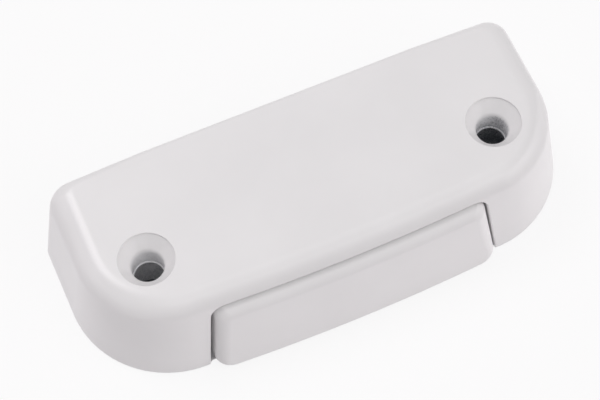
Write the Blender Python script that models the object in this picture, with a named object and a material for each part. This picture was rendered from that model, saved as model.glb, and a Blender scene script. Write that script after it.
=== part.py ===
"""Sliding sash lock: a die-cast body with a push bar that swings a hook latch out of its keeper.

Units are metres. X runs along the body, +Y points to the straight back edge, +Z points away from the sash.
The origin lies on the base plane, midway between the two mounting screws.
"""
import math

import bmesh
import bpy
from mathutils import Matrix, Vector

# Fits shared by all pieces
SEAT_GAP = 0.0003
RUN_GAP = 0.0003

# Die-cast housing
SCREW_END_MARGIN = 0.012225
HOUSING_BACK = 0.0172
HOUSING_FRONT = 0.0127
HOUSING_HEIGHT = 0.0173
FRONT_CORNER_RADIUS = 0.0162
BACK_CORNER_RADIUS = 0.0024
END_DRAFT = 9.0
FRONT_DRAFT = 10.0
END_EDGE_RADIUS = 0.0042
FRONT_EDGE_RADIUS = 0.0036
BACK_EDGE_RADIUS = 0.0008
FRONT_BOW = 0.0008
WALL = 0.0022
ROOF = 0.0019

# Mounting screws: number 8, countersunk, on 2 1/4 inch centres
SCREW_PITCH = 0.05715
SCREW_BORE_RADIUS = 0.00248
SINK_RADIUS = 0.0043
SINK_DEPTH = 0.0025
BORE_LENGTH = 0.0064
CORE_RADIUS = 0.0036
BOSS_WALL = 0.0018
FUSE_DEPTH = 0.0003

# Base plate and its screws
PLATE_THICKNESS = 0.0015
PLATE_LIP = 0.0009
PLATE_HOLE_RADIUS = 0.0034
PLATE_SCREW_RADIUS = 0.0010
PLATE_SCREW_HEAD_RADIUS = 0.0020
PLATE_SCREW_LENGTH = 0.0080
PLATE_SCREW_WALL = 0.0011
PLATE_SCREW_CAP = 0.0015
PLATE_SCREW_END_MARGIN = 0.0054
PLATE_SCREW_BACK_MARGIN = 0.0044
PLATE_SCREW_FRONT_MARGIN = 0.0050
PLATE_SCREW_FRONT_ANGLE = -61.0

# Notch in the front wall and the push bar in it
EAVE = 0.0029
NOTCH_FOOT_WIDTH = 0.0486
NOTCH_LEAN = 0.00175
NOTCH_CORNER_RADIUS = 0.0024
BAR_END_GAP = 0.00045
BAR_TOP_GAP = 0.00055
BAR_FOOT = 0.0004
BAR_PROUD = 0.0019
BAR_BOW = 0.0007
BAR_LEAN = 13.0
BAR_DEPTH = 0.0070
BAR_END_ROUND = 0.0024
BAR_TOP_ROUND = 0.0024
BAR_FOOT_ROUND = 0.0006
BAR_FOOT_CORNER_RADIUS = 0.0009
BAR_SKIN = 0.0016
BAR_RIM = 0.0016
BAR_STROKE = 0.0032

# Guide pins, their ribs, clips and springs
GUIDE_DROP = 0.00485
GUIDE_PIN_RADIUS = 0.0015
GUIDE_PIN_TAIL = 0.0012
PIN_CHAMFER = 0.0003
GUIDE_SOCKET_DEPTH = 0.0023
GUIDE_SOCKET_WALL = 0.0009
SPRING_ROOM = 0.0100
RIB_THICKNESS = 0.0030
RIB_SIDE = 0.0029
RIB_DROP = 0.0030
CLIP_THICKNESS = 0.0006
CLIP_RADIUS = 0.0030
CLIP_GROOVE_DEPTH = 0.0005
CLIP_MOUTH = 0.0019
SPRING_WIRE_RADIUS = 0.00035
SPRING_CURLS = 6
SPRING_PIN_CLEARANCE = 0.00055

# Hook latch, its pivot and the drive pin
PIVOT_SETBACK = 0.0102
LATCH_SWING = 16.0
HOOK_THICKNESS = 0.0026
HOOK_HUB_RADIUS = 0.0052
HOOK_ARM_OFFSET = 0.0075
HOOK_ARM_WIDTH = 0.0040
HOOK_SHOULDER = 0.0031
HOOK_THROAT = 0.0062
HOOK_REACH = 0.0048
HOOK_FILLET = 0.0030
HOOK_EDGE_RADIUS = 0.0010
BARB_WIDTH = 0.0026
BARB_LENGTH = 0.0030
BARB_SLOPE = 0.0022
BARB_UNDERCUT = 0.0003
BARB_RADIUS = 0.0004
TAIL_WIDTH = 0.0032
TAIL_END = 0.0022
BUSH_WALL = 0.0007
WASHER_THICKNESS = 0.0005
WASHER_RADIUS = 0.0040
PIVOT_PIN_RADIUS = 0.0020
PIVOT_PIN_RECESS = 0.0002
PIVOT_BOSS_WALL = 0.0021
PIVOT_BORE_ROOF = 0.0034
DRIVE_PIN_RADIUS = 0.0015
ARM_WALL = 0.0009
ARM_CAP = 0.0009
ARM_LIFT = 0.0008
ARM_DROP = 0.00265
ARM_END_FLAT = 0.0003
WINDOW_CLEARANCE = 0.0005

# Torsion spring on the pivot boss
TORSION_WIRE_RADIUS = 0.00035
TORSION_CURLS = 3
TORSION_PITCH = 0.00125
TORSION_CLEARANCE = 0.0005
TORSION_LEG_REACH = 0.0080
TORSION_LEG_ANGLE = 140.0
TORSION_HOOK_DEPTH = 0.0014
PEG_RADIUS = 0.0010
PEG_BACK = 0.0063
PEG_OVERLAP = 0.0015

# Fineness of the facets
CORNER_STEPS = 12
SMALL_CORNER_STEPS = 4
EDGE_STEPS = 7
ROUND_STEPS = 32
SMALL_ROUND_STEPS = 20
TINY_ROUND_STEPS = 12
BOW_STEPS = 12
CURL_POINTS = 9
SHARP_ANGLE = 30.0
PAST = 0.0010

# Places worked out from the sizes above
HOUSING_LENGTH = SCREW_PITCH + 2.0 * SCREW_END_MARGIN
CEILING = HOUSING_HEIGHT - ROOF
NOTCH_TOP = HOUSING_HEIGHT - EAVE
NOTCH_TOP_WIDTH = NOTCH_FOOT_WIDTH - 2.0 * NOTCH_LEAN
PLATE_SEAT = PLATE_THICKNESS + SEAT_GAP
BOSS_RADIUS = CORE_RADIUS + BOSS_WALL
BAR_FRONT = -HOUSING_FRONT - FRONT_BOW - BAR_PROUD
BAR_REAR = BAR_FRONT + BAR_DEPTH
BAR_TOP = NOTCH_TOP - BAR_TOP_GAP
GUIDE_HEIGHT = BAR_TOP - GUIDE_DROP
RIB_FRONT = BAR_REAR + SPRING_ROOM
RIB_BACK = RIB_FRONT + RIB_THICKNESS
RIB_FOOT = GUIDE_HEIGHT - RIB_DROP
CLIP_FRONT = RIB_BACK + RUN_GAP
CLIP_BACK = CLIP_FRONT + CLIP_THICKNESS
GUIDE_SOCKET_RADIUS = GUIDE_PIN_RADIUS + SEAT_GAP
PIVOT_BACK = HOUSING_BACK - PIVOT_SETBACK
PIVOT = Vector((0.0, PIVOT_BACK, 0.0))
WASHER_FOOT = PLATE_THICKNESS + SEAT_GAP
HOOK_FOOT = WASHER_FOOT + WASHER_THICKNESS + RUN_GAP
HOOK_TOP = HOOK_FOOT + HOOK_THICKNESS
PIVOT_BORE_RADIUS = PIVOT_PIN_RADIUS + SEAT_GAP
PIVOT_BOSS_RADIUS = PIVOT_BORE_RADIUS + PIVOT_BOSS_WALL
PIVOT_BORE_TOP = CEILING - PIVOT_BORE_ROOF
BUSH_RADIUS = PIVOT_PIN_RADIUS + RUN_GAP + BUSH_WALL
DRIVE_X = BAR_STROKE / (2.0 * math.tan(math.radians(LATCH_SWING / 2.0)))
DRIVE_Y = PIVOT_BACK - BAR_STROKE / 2.0
ARM_HALF_WIDTH = DRIVE_PIN_RADIUS + SEAT_GAP + ARM_WALL
ARM_FOOT = HOOK_TOP + ARM_LIFT
ARM_TOP = BAR_TOP - ARM_DROP
GUIDE_X = (DRIVE_X + ARM_HALF_WIDTH + SCREW_PITCH / 2.0 - BOSS_RADIUS) / 2.0


def finish(name, colour, roughness, metallic):
    material = bpy.data.materials.new(name)
    material.use_nodes = True
    shader = material.node_tree.nodes["Principled BSDF"]
    shader.inputs["Base Color"].default_value = (*colour, 1.0)
    shader.inputs["Roughness"].default_value = roughness
    shader.inputs["Metallic"].default_value = metallic
    return material


def place(name, mesh, material=None):
    piece = bpy.data.objects.new(name, mesh)
    bpy.context.scene.collection.objects.link(piece)
    if material:
        mesh.materials.append(material)
        mesh.shade_smooth()
        mesh.set_sharp_from_angle(angle=math.radians(SHARP_ANGLE))
    return piece


def mesh_from(name, build):
    shape = bmesh.new()
    bmesh.ops.recalc_face_normals(shape, faces=build(shape))
    mesh = bpy.data.meshes.new(name)
    shape.to_mesh(mesh)
    shape.free()
    return mesh


def rounded_outline(corners):
    """Points of a closed outline from corners (x, y, radius, steps); a sharp one has radius 0."""
    points = []
    for index, (x, y, radius, steps) in enumerate(corners):
        here = Vector((x, y))
        if radius == 0.0:
            points.append(here)
            continue
        before = (Vector(corners[index - 1][:2]) - here).normalized()
        after = (Vector(corners[(index + 1) % len(corners)][:2]) - here).normalized()
        half_angle = before.angle(after) / 2.0
        centre = here + (before + after).normalized() * radius / math.sin(half_angle)
        start = here + before * radius / math.tan(half_angle) - centre
        turn = (math.pi - 2.0 * half_angle) * (1.0 if before.cross(after) < 0.0 else -1.0)
        for step in range(steps + 1):
            points.append(centre + Matrix.Rotation(turn * step / steps, 2) @ start)
    return points


def band(shape, lower, upper):
    """The faces between two closed loops of equal length."""
    faces = []
    for index in range(len(lower)):
        corners = (lower[index - 1], lower[index], upper[index], upper[index - 1])
        faces.append(shape.faces.new(corners))
    return faces


def loft(name, rings, material=None):
    """A closed solid through rings of equal length, with flat ends."""
    def build(shape):
        loops = [[shape.verts.new(point) for point in ring] for ring in rings]
        faces = [shape.faces.new(loops[0]), shape.faces.new(loops[-1])]
        for lower, upper in zip(loops, loops[1:]):
            faces += band(shape, lower, upper)
        return faces
    return place(name, mesh_from(name, build), material)


def prism(name, outline, foot, top, material=None):
    return loft(name, [[(x, y, z) for x, y in outline] for z in (foot, top)], material)


def wall_prism(name, outline, front, back):
    """An outline in the XZ plane, run along Y."""
    return loft(name, [[(x, y, z) for x, z in outline] for y in (front, back)])


def box_outline(left, right, low, high):
    return [(left, low), (right, low), (right, high), (left, high)]


def turned(name, profile, centre, material=None, steps=SMALL_ROUND_STEPS, along_y=False, ring=False):
    """A profile of (radius, height) points turned about an axis through centre, along Z or along Y."""
    rings = []
    for radius, height in profile:
        circle = []
        for step in range(steps):
            angle = 2.0 * math.pi * step / steps
            across, aside = radius * math.cos(angle), radius * math.sin(angle)
            offset = Vector((across, height, -aside)) if along_y else Vector((across, aside, height))
            circle.append(centre + offset)
        rings.append(circle)
    if not ring:
        return loft(name, rings, material)

    def build(shape):
        loops = [[shape.verts.new(point) for point in circle] for circle in rings]
        faces = []
        for lower, upper in zip(loops, loops[1:] + loops[:1]):
            faces += band(shape, lower, upper)
        return faces
    return place(name, mesh_from(name, build), material)


def tube_profile(inner, outer, foot, top):
    return [(inner, foot), (outer, foot), (outer, top), (inner, top)]


def pin_profile(radius, foot, top):
    end = radius - PIN_CHAMFER
    return [(end, foot), (radius, foot + PIN_CHAMFER), (radius, top - PIN_CHAMFER), (end, top)]


def combine(target, tool, operation):
    tool.hide_render = True
    tool.display_type = 'WIRE'
    modifier = target.modifiers.new(tool.name, 'BOOLEAN')
    modifier.operation = operation
    modifier.solver = 'EXACT'
    modifier.object = tool


def cut(target, tool):
    combine(target, tool, 'DIFFERENCE')


def join(target, tool):
    combine(target, tool, 'UNION')


def axis_empty(name, location):
    empty = bpy.data.objects.new(name, None)
    empty.location = location
    empty.empty_display_size = HOUSING_HEIGHT
    bpy.context.scene.collection.objects.link(empty)
    return empty


def carry(piece, empty):
    piece.parent = empty
    piece.matrix_parent_inverse = Matrix.Translation(-empty.location)


def wire(name, points, radius, material):
    """A round wire through points, as one unbroken tube."""
    curve = bpy.data.curves.new(name, 'CURVE')
    curve.dimensions = '3D'
    curve.bevel_depth = radius
    curve.bevel_resolution = 1
    curve.use_fill_caps = True
    spline = curve.splines.new('POLY')
    spline.points.add(len(points) - 1)
    for slot, point in zip(spline.points, points):
        slot.co = (*point, 1.0)
    curve.materials.append(material)
    piece = bpy.data.objects.new(name, curve)
    bpy.context.scene.collection.objects.link(piece)
    return piece


def print_self_gap(name, points, radius):
    """The least gap between stretches of a wire that lie at least half a curl apart."""
    apart = CURL_POINTS // 2 + 1
    least = min((a - b).length for i, a in enumerate(points) for b in points[i + apart:])
    print(f"{name}: least gap to itself {1000.0 * (least - 2.0 * radius):.2f} mm")


def edge_inset(height, draft, edge_radius):
    """How far a drafted wall with a rounded top edge lies inside its foot, at a height."""
    lean = math.radians(draft)
    edge_centre = HOUSING_HEIGHT - edge_radius
    if height <= edge_centre + edge_radius * math.sin(lean):
        return height * math.tan(lean)
    centre_inset = (edge_radius + edge_centre * math.sin(lean)) / math.cos(lean)
    rise = min(height - edge_centre, edge_radius)
    return centre_inset - math.sqrt(edge_radius ** 2 - rise ** 2)


def body_outline(end_inset, front_inset, back_inset):
    """The housing's plan outline, drawn in at the ends, the front and the back."""
    half = HOUSING_LENGTH / 2.0 - end_inset
    front = -HOUSING_FRONT + front_inset
    back = HOUSING_BACK - back_inset
    big = FRONT_CORNER_RADIUS - (end_inset + front_inset) / 2.0
    small = max(BACK_CORNER_RADIUS - back_inset, BACK_EDGE_RADIUS / 2.0)
    outline = rounded_outline([
        (-half, front, big, CORNER_STEPS),
        (half, front, big, CORNER_STEPS),
        (half, back, small, SMALL_CORNER_STEPS),
        (-half, back, small, SMALL_CORNER_STEPS),
    ])
    bow_half = half - big
    bow = []
    for step in range(1, BOW_STEPS):
        across = 2.0 * step / BOW_STEPS - 1.0
        bow.append(Vector((across * bow_half, front - FRONT_BOW * (1.0 - across ** 2))))
    return outline[:CORNER_STEPS + 1] + bow + outline[CORNER_STEPS + 1:]


def outer_ring(height):
    outline = body_outline(
        edge_inset(height, END_DRAFT, END_EDGE_RADIUS),
        edge_inset(height, FRONT_DRAFT, FRONT_EDGE_RADIUS),
        edge_inset(height, 0.0, BACK_EDGE_RADIUS))
    return [(x, y, height) for x, y in outline]


def inner_ring(height, level):
    lift = max(height, 0.0)
    outline = body_outline(
        WALL + lift * math.tan(math.radians(END_DRAFT)),
        WALL + lift * math.tan(math.radians(FRONT_DRAFT)),
        WALL)
    return [(x, y, level) for x, y in outline]


def screw_places():
    return [Vector((side * SCREW_PITCH / 2.0, 0.0, 0.0)) for side in (-1.0, 1.0)]


def plate_screw_places():
    reach = FRONT_CORNER_RADIUS - PLATE_SCREW_FRONT_MARGIN
    angle = math.radians(PLATE_SCREW_FRONT_ANGLE)
    front_x = HOUSING_LENGTH / 2.0 - FRONT_CORNER_RADIUS + reach * math.cos(angle)
    front_y = -HOUSING_FRONT + FRONT_CORNER_RADIUS + reach * math.sin(angle)
    back_x = HOUSING_LENGTH / 2.0 - PLATE_SCREW_END_MARGIN
    back_y = HOUSING_BACK - PLATE_SCREW_BACK_MARGIN
    places = []
    for side in (-1.0, 1.0):
        places.append(Vector((side * back_x, back_y, 0.0)))
        places.append(Vector((side * front_x, front_y, 0.0)))
    return places


def guide_places():
    """The guides lie midway between the drive arm and the bosses of the mounting screws."""
    return [("left", -GUIDE_X), ("right", GUIDE_X)]


def notch_sides(gap_end, gap_top, foot):
    """Half widths at the top and at a foot height, and the top's height, of the notch and the bar in it."""
    lean = NOTCH_LEAN / NOTCH_TOP
    upper = NOTCH_TOP_WIDTH / 2.0 - gap_end + lean * gap_top
    lower = NOTCH_FOOT_WIDTH / 2.0 - gap_end - lean * foot
    return upper, lower, NOTCH_TOP - gap_top


def notch_outline(gap_end, gap_top, foot, corner):
    """The leaning sides and round upper corners that the notch and the bar's pocket share, in XZ."""
    upper, lower, top = notch_sides(gap_end, gap_top, foot)
    return rounded_outline([
        (-lower, foot, 0.0, 0),
        (lower, foot, 0.0, 0),
        (upper, top, corner, SMALL_CORNER_STEPS),
        (-upper, top, corner, SMALL_CORNER_STEPS),
    ])


def hook_outline():
    """The hook in plan at rest, about its pivot: tail to +X, arm and barb to the back."""
    arm_left = -HOOK_ARM_OFFSET - HOOK_ARM_WIDTH / 2.0
    arm_right = -HOOK_ARM_OFFSET + HOOK_ARM_WIDTH / 2.0
    barb_x = arm_right + BARB_WIDTH
    tip = HOUSING_BACK + HOOK_REACH - PIVOT_BACK
    catch = tip - BARB_LENGTH
    tail_turn = Matrix.Rotation(math.radians(-LATCH_SWING / 2.0), 2)
    tail_front = DRIVE_PIN_RADIUS + RUN_GAP
    tail_length = DRIVE_X + DRIVE_PIN_RADIUS + TAIL_END
    tail_root = tail_turn @ Vector((HOOK_HUB_RADIUS, tail_front))
    tail_low = tail_turn @ Vector((tail_length, tail_front))
    tail_high = tail_turn @ Vector((tail_length, tail_front + TAIL_WIDTH))
    hub = HOOK_HUB_RADIUS
    small = SMALL_CORNER_STEPS
    return rounded_outline([
        (tail_root.x, tail_root.y, HOOK_EDGE_RADIUS, small),
        (tail_low.x, tail_low.y, HOOK_EDGE_RADIUS, small),
        (tail_high.x, tail_high.y, HOOK_EDGE_RADIUS, small),
        (arm_right, HOOK_THROAT, HOOK_EDGE_RADIUS, small),
        (arm_right, catch + BARB_UNDERCUT, BARB_RADIUS, small),
        (barb_x, catch, BARB_RADIUS, small),
        (barb_x, tip - BARB_SLOPE, BARB_RADIUS, small),
        (arm_right - BARB_WIDTH / 2.0, tip, HOOK_EDGE_RADIUS, small),
        (arm_left, tip, HOOK_EDGE_RADIUS, small),
        (arm_left, HOOK_SHOULDER, HOOK_FILLET, small),
        (-hub, -hub, hub, CORNER_STEPS),
        (hub, -hub, hub, CORNER_STEPS),
    ])


def make_housing(material):
    levels = [0.0]
    edge = max(FRONT_EDGE_RADIUS, END_EDGE_RADIUS)
    for step in range(EDGE_STEPS + 1):
        levels.append(HOUSING_HEIGHT - edge * (1.0 - math.sin(0.5 * math.pi * step / EDGE_STEPS)))
    housing = loft("housing", [outer_ring(level) for level in levels], material)
    cavity = [inner_ring(0.0, -PAST), inner_ring(0.0, 0.0), inner_ring(CEILING, CEILING)]
    cut(housing, loft("cut_cavity", cavity))
    bury = ROOF / 2.0

    # Bosses, guide ribs and the spring peg hang from the roof and the walls
    for place_index, centre in enumerate(screw_places()):
        profile = [(BOSS_RADIUS, PLATE_SEAT / 2.0), (BOSS_RADIUS, CEILING + bury)]
        join(housing, turned(f"add_boss_{place_index}", profile, centre, steps=ROUND_STEPS))
    boss = PLATE_SCREW_RADIUS + SEAT_GAP + PLATE_SCREW_WALL
    boss_top = PLATE_SCREW_LENGTH + SEAT_GAP + PLATE_SCREW_CAP
    for place_index, centre in enumerate(plate_screw_places()):
        profile = [(boss, PLATE_SEAT / 2.0), (boss, boss_top)]
        join(housing, turned(f"add_plate_boss_{place_index}", profile, centre))
    profile = [(PIVOT_BOSS_RADIUS, HOOK_TOP + RUN_GAP), (PIVOT_BOSS_RADIUS, CEILING + bury)]
    join(housing, turned("add_pivot_boss", profile, PIVOT, steps=ROUND_STEPS))
    for name, x in guide_places():
        side = math.copysign(1.0, x)
        near, far = sorted((x - side * RIB_SIDE, side * SCREW_PITCH / 2.0))
        rib = box_outline(near, far, RIB_FRONT, RIB_BACK)
        join(housing, prism(f"add_rib_{name}", rib, RIB_FOOT, CEILING + bury))
    peg_x = torsion_radius() - TORSION_WIRE_RADIUS - SEAT_GAP - PEG_RADIUS
    peg_foot = torsion_foot() + torsion_rise() - PEG_OVERLAP
    profile = [(PEG_RADIUS, peg_foot), (PEG_RADIUS, CEILING + bury)]
    join(housing, turned("add_peg", profile, PIVOT + Vector((peg_x, PEG_BACK, 0.0))))

    # Seat of the base plate, then every bore
    lip = body_outline(PLATE_LIP, PLATE_LIP, PLATE_LIP)
    cut(housing, prism("cut_plate_seat", lip, -PAST, PLATE_SEAT))
    flare = (SINK_RADIUS - SCREW_BORE_RADIUS) / SINK_DEPTH
    for place_index, centre in enumerate(screw_places()):
        profile = [
            (CORE_RADIUS, -PAST),
            (CORE_RADIUS, HOUSING_HEIGHT - BORE_LENGTH),
            (SCREW_BORE_RADIUS, HOUSING_HEIGHT - BORE_LENGTH),
            (SCREW_BORE_RADIUS, HOUSING_HEIGHT - SINK_DEPTH),
            (SINK_RADIUS + flare * PAST, HOUSING_HEIGHT + PAST),
        ]
        cut(housing, turned(f"cut_screw_{place_index}", profile, centre, steps=ROUND_STEPS))
    bore = PLATE_SCREW_RADIUS + SEAT_GAP
    for place_index, centre in enumerate(plate_screw_places()):
        profile = [(bore, 0.0), (bore, PLATE_SCREW_LENGTH + SEAT_GAP)]
        cut(housing, turned(f"cut_plate_screw_{place_index}", profile, centre))
    profile = [(PIVOT_BORE_RADIUS, 0.0), (PIVOT_BORE_RADIUS, PIVOT_BORE_TOP)]
    cut(housing, turned("cut_pivot", profile, PIVOT))
    bore = GUIDE_PIN_RADIUS + RUN_GAP
    for name, x in guide_places():
        profile = [(bore, RIB_FRONT - PAST), (bore, RIB_BACK + PAST)]
        centre = Vector((x, 0.0, GUIDE_HEIGHT))
        cut(housing, turned(f"cut_guide_{name}", profile, centre, along_y=True))

    # Notch for the bar and window for the hook
    notch = notch_outline(0.0, 0.0, -PAST, NOTCH_CORNER_RADIUS)
    notch_back = -HOUSING_FRONT + WALL + NOTCH_TOP * math.tan(math.radians(FRONT_DRAFT)) + PAST
    cut(housing, wall_prism("cut_notch", notch, BAR_FRONT - PAST, notch_back))
    left, right = window_sides()
    window = box_outline(left, right, -PAST, HOOK_TOP + WINDOW_CLEARANCE)
    cut(housing, wall_prism("cut_window", window, HOUSING_BACK - WALL - PAST, HOUSING_BACK + PAST))
    return housing


def window_sides():
    """Where the hook's arm passes the back wall, from its rest to its full swing."""
    swing = math.radians(LATCH_SWING)
    arm_left = -HOOK_ARM_OFFSET - HOOK_ARM_WIDTH / 2.0
    arm_right = -HOOK_ARM_OFFSET + HOOK_ARM_WIDTH / 2.0
    outer_face = HOUSING_BACK - PIVOT_BACK
    along = (outer_face - arm_left * math.sin(swing)) / math.cos(swing)
    swung_left = arm_left * math.cos(swing) - along * math.sin(swing)
    return swung_left - WINDOW_CLEARANCE, arm_right + WINDOW_CLEARANCE


def make_base_plate(material):
    inset = PLATE_LIP + SEAT_GAP
    plate = prism("base_plate", body_outline(inset, inset, inset), 0.0, PLATE_THICKNESS, material)
    half = NOTCH_FOOT_WIDTH / 2.0 + RUN_GAP
    bay = box_outline(-half, half, BAR_FRONT - PAST, BAR_REAR + BAR_STROKE + RUN_GAP)
    cut(plate, prism("cut_bar_bay", bay, -PAST, PLATE_THICKNESS + PAST))
    for place_index, centre in enumerate(screw_places()):
        profile = [(PLATE_HOLE_RADIUS, -PAST), (PLATE_HOLE_RADIUS, PLATE_THICKNESS + PAST)]
        cut(plate, turned(f"cut_plate_hole_{place_index}", profile, centre))
    for place_index, centre in enumerate(plate_screw_places()):
        shank = PLATE_SCREW_RADIUS + SEAT_GAP
        head = PLATE_SCREW_HEAD_RADIUS + SEAT_GAP
        profile = [(head + PAST, -PAST), (shank, head - shank), (shank, PLATE_THICKNESS + PAST)]
        cut(plate, turned(f"cut_plate_sink_{place_index}", profile, centre))
    profile = [(PIVOT_BORE_RADIUS, -PAST), (PIVOT_BORE_RADIUS, PLATE_THICKNESS + PAST)]
    cut(plate, turned("cut_plate_pivot", profile, PIVOT))
    return plate


def make_plate_screws(material):
    for number, centre in enumerate(plate_screw_places(), start=1):
        cone = PLATE_SCREW_HEAD_RADIUS - PLATE_SCREW_RADIUS
        profile = [
            (PLATE_SCREW_HEAD_RADIUS - SEAT_GAP, SEAT_GAP / 2.0),
            (PLATE_SCREW_RADIUS, SEAT_GAP / 2.0 + cone - SEAT_GAP),
            (PLATE_SCREW_RADIUS, PLATE_SCREW_LENGTH - PLATE_SCREW_RADIUS),
            (PLATE_SCREW_RADIUS / 2.0, PLATE_SCREW_LENGTH),
        ]
        turned(f"plate_screw_{number}", profile, centre, material)


def bar_lean(height):
    return height * math.tan(math.radians(BAR_LEAN))


def bar_floor(height):
    """The bottom of the bar's rear pocket, which leans with the front face."""
    return BAR_FRONT + BAR_BOW + BAR_SKIN + bar_lean(height)


def bar_rings():
    """Rings from the bar's flat rear to its rounded front, split into an upper and a lower row."""
    upper, lower, top = notch_sides(BAR_END_GAP, BAR_TOP_GAP, BAR_FOOT)
    corner = NOTCH_CORNER_RADIUS - BAR_END_GAP
    turns = [0.5 * math.pi * step / EDGE_STEPS for step in range(EDGE_STEPS + 1)]
    depths = [BAR_END_ROUND * (1.0 - math.sin(turn)) for turn in turns]

    def rounding(radius, depth):
        rise = max(radius - depth, 0.0)
        return radius - math.sqrt(radius ** 2 - rise ** 2)

    def rows(end_inset, top_inset, foot_inset):
        up, low = upper - end_inset, lower - end_inset
        high, foot = top - top_inset, BAR_FOOT + foot_inset
        round_now = corner - (top_inset + end_inset) / 4.0
        points = rounded_outline([
            (-up, high, round_now, SMALL_CORNER_STEPS),
            (-low, foot, BAR_FOOT_CORNER_RADIUS, SMALL_CORNER_STEPS),
            (low, foot, BAR_FOOT_CORNER_RADIUS, SMALL_CORNER_STEPS),
            (up, high, round_now, SMALL_CORNER_STEPS),
        ])
        arc = SMALL_CORNER_STEPS + 1
        top_left, foot_left, foot_right, top_right = (points[arc * k:arc * (k + 1)] for k in range(4))
        between = [step / BOW_STEPS for step in range(1, BOW_STEPS)]
        top_row = top_left[::-1] + [top_left[0].lerp(top_right[-1], t) for t in between] + top_right[::-1]
        foot_row = foot_left + [foot_left[-1].lerp(foot_right[0], t) for t in between] + foot_right
        return top_row, foot_row

    def bowed(row, depth):
        return [(x, BAR_FRONT + BAR_BOW * (x / upper) ** 2 + bar_lean(z) + depth, z) for x, z in row]

    rings = []
    top_row, foot_row = rows(0.0, 0.0, 0.0)
    rings.append(([(x, BAR_REAR, z) for x, z in top_row], [(x, BAR_REAR, z) for x, z in foot_row]))
    for depth in depths:
        top_row, foot_row = rows(
            rounding(BAR_END_ROUND, depth), rounding(BAR_TOP_ROUND, depth), rounding(BAR_FOOT_ROUND, depth))
        rings.append((bowed(top_row, depth), bowed(foot_row, depth)))
    return rings


def make_push_bar(material):
    rings = bar_rings()

    def build(shape):
        loops, faces = [], []
        for top_row, foot_row in rings:
            loops.append(([shape.verts.new(p) for p in top_row], [shape.verts.new(p) for p in foot_row]))
        for (top_a, foot_a), (top_b, foot_b) in zip(loops, loops[1:]):
            faces += band(shape, top_a + foot_a[::-1], top_b + foot_b[::-1])
        for top_row, foot_row in (loops[0], loops[-1]):
            for index in range(len(top_row) - 1):
                corners = (top_row[index], top_row[index + 1], foot_row[index + 1], foot_row[index])
                faces.append(shape.faces.new(corners))
        return faces

    bar = place("push_bar", mesh_from("push_bar", build), material)
    inner = notch_outline(
        BAR_END_GAP + BAR_RIM, BAR_TOP_GAP + BAR_RIM, BAR_FOOT + BAR_RIM, NOTCH_CORNER_RADIUS - BAR_END_GAP)
    floor = [(x, bar_floor(z), z) for x, z in inner]
    mouth = [(x, BAR_REAR + PAST, z) for x, z in inner]
    cut(bar, loft("cut_bar_pocket", [floor, mouth]))

    # Sockets for the guide pins, and the arm that holds the drive pin
    socket = GUIDE_SOCKET_RADIUS + GUIDE_SOCKET_WALL
    socket_root = bar_floor(GUIDE_HEIGHT - socket) - FUSE_DEPTH
    for name, x in guide_places():
        centre = Vector((x, 0.0, GUIDE_HEIGHT))
        profile = [(socket, socket_root), (socket, bar_socket_rear())]
        join(bar, turned(f"add_socket_{name}", profile, centre, along_y=True))
        profile = [(GUIDE_SOCKET_RADIUS, bar_socket_rear() - GUIDE_SOCKET_DEPTH),
                   (GUIDE_SOCKET_RADIUS, bar_socket_rear() + PAST)]
        cut(bar, turned(f"cut_socket_{name}", profile, centre, along_y=True))
    arm_root = bar_floor(ARM_FOOT) - FUSE_DEPTH
    arm_end = DRIVE_Y + ARM_HALF_WIDTH
    end_round = ARM_HALF_WIDTH - ARM_END_FLAT / 2.0
    arm = rounded_outline([
        (DRIVE_X - ARM_HALF_WIDTH, arm_root, 0.0, 0),
        (DRIVE_X + ARM_HALF_WIDTH, arm_root, 0.0, 0),
        (DRIVE_X + ARM_HALF_WIDTH, arm_end, end_round, SMALL_CORNER_STEPS),
        (DRIVE_X - ARM_HALF_WIDTH, arm_end, end_round, SMALL_CORNER_STEPS),
    ])
    join(bar, prism("add_drive_arm", arm, ARM_FOOT, ARM_TOP))
    bore = DRIVE_PIN_RADIUS + SEAT_GAP
    profile = [(bore, ARM_FOOT - PAST), (bore, ARM_TOP - ARM_CAP)]
    cut(bar, turned("cut_drive_pin", profile, Vector((DRIVE_X, DRIVE_Y, 0.0))))
    return bar


def bar_socket_rear():
    return BAR_REAR - SEAT_GAP / 2.0


def make_drive_pin(material):
    foot = WASHER_FOOT + WASHER_THICKNESS
    profile = pin_profile(DRIVE_PIN_RADIUS, foot, ARM_TOP - ARM_CAP - SEAT_GAP)
    return turned("drive_pin", profile, Vector((DRIVE_X, DRIVE_Y, 0.0)), material)


def make_guide_pin(name, x, material):
    groove = GUIDE_PIN_RADIUS - CLIP_GROOVE_DEPTH
    front = bar_socket_rear() - GUIDE_SOCKET_DEPTH + SEAT_GAP
    back = CLIP_BACK + RUN_GAP + GUIDE_PIN_TAIL
    plain = pin_profile(GUIDE_PIN_RADIUS, front, back)
    profile = plain[:2] + [
        (GUIDE_PIN_RADIUS, CLIP_FRONT - RUN_GAP),
        (groove, CLIP_FRONT - RUN_GAP),
        (groove, CLIP_BACK + RUN_GAP),
        (GUIDE_PIN_RADIUS, CLIP_BACK + RUN_GAP),
    ] + plain[2:]
    return turned(f"guide_pin_{name}", profile, Vector((x, 0.0, GUIDE_HEIGHT)), material, along_y=True)


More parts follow.
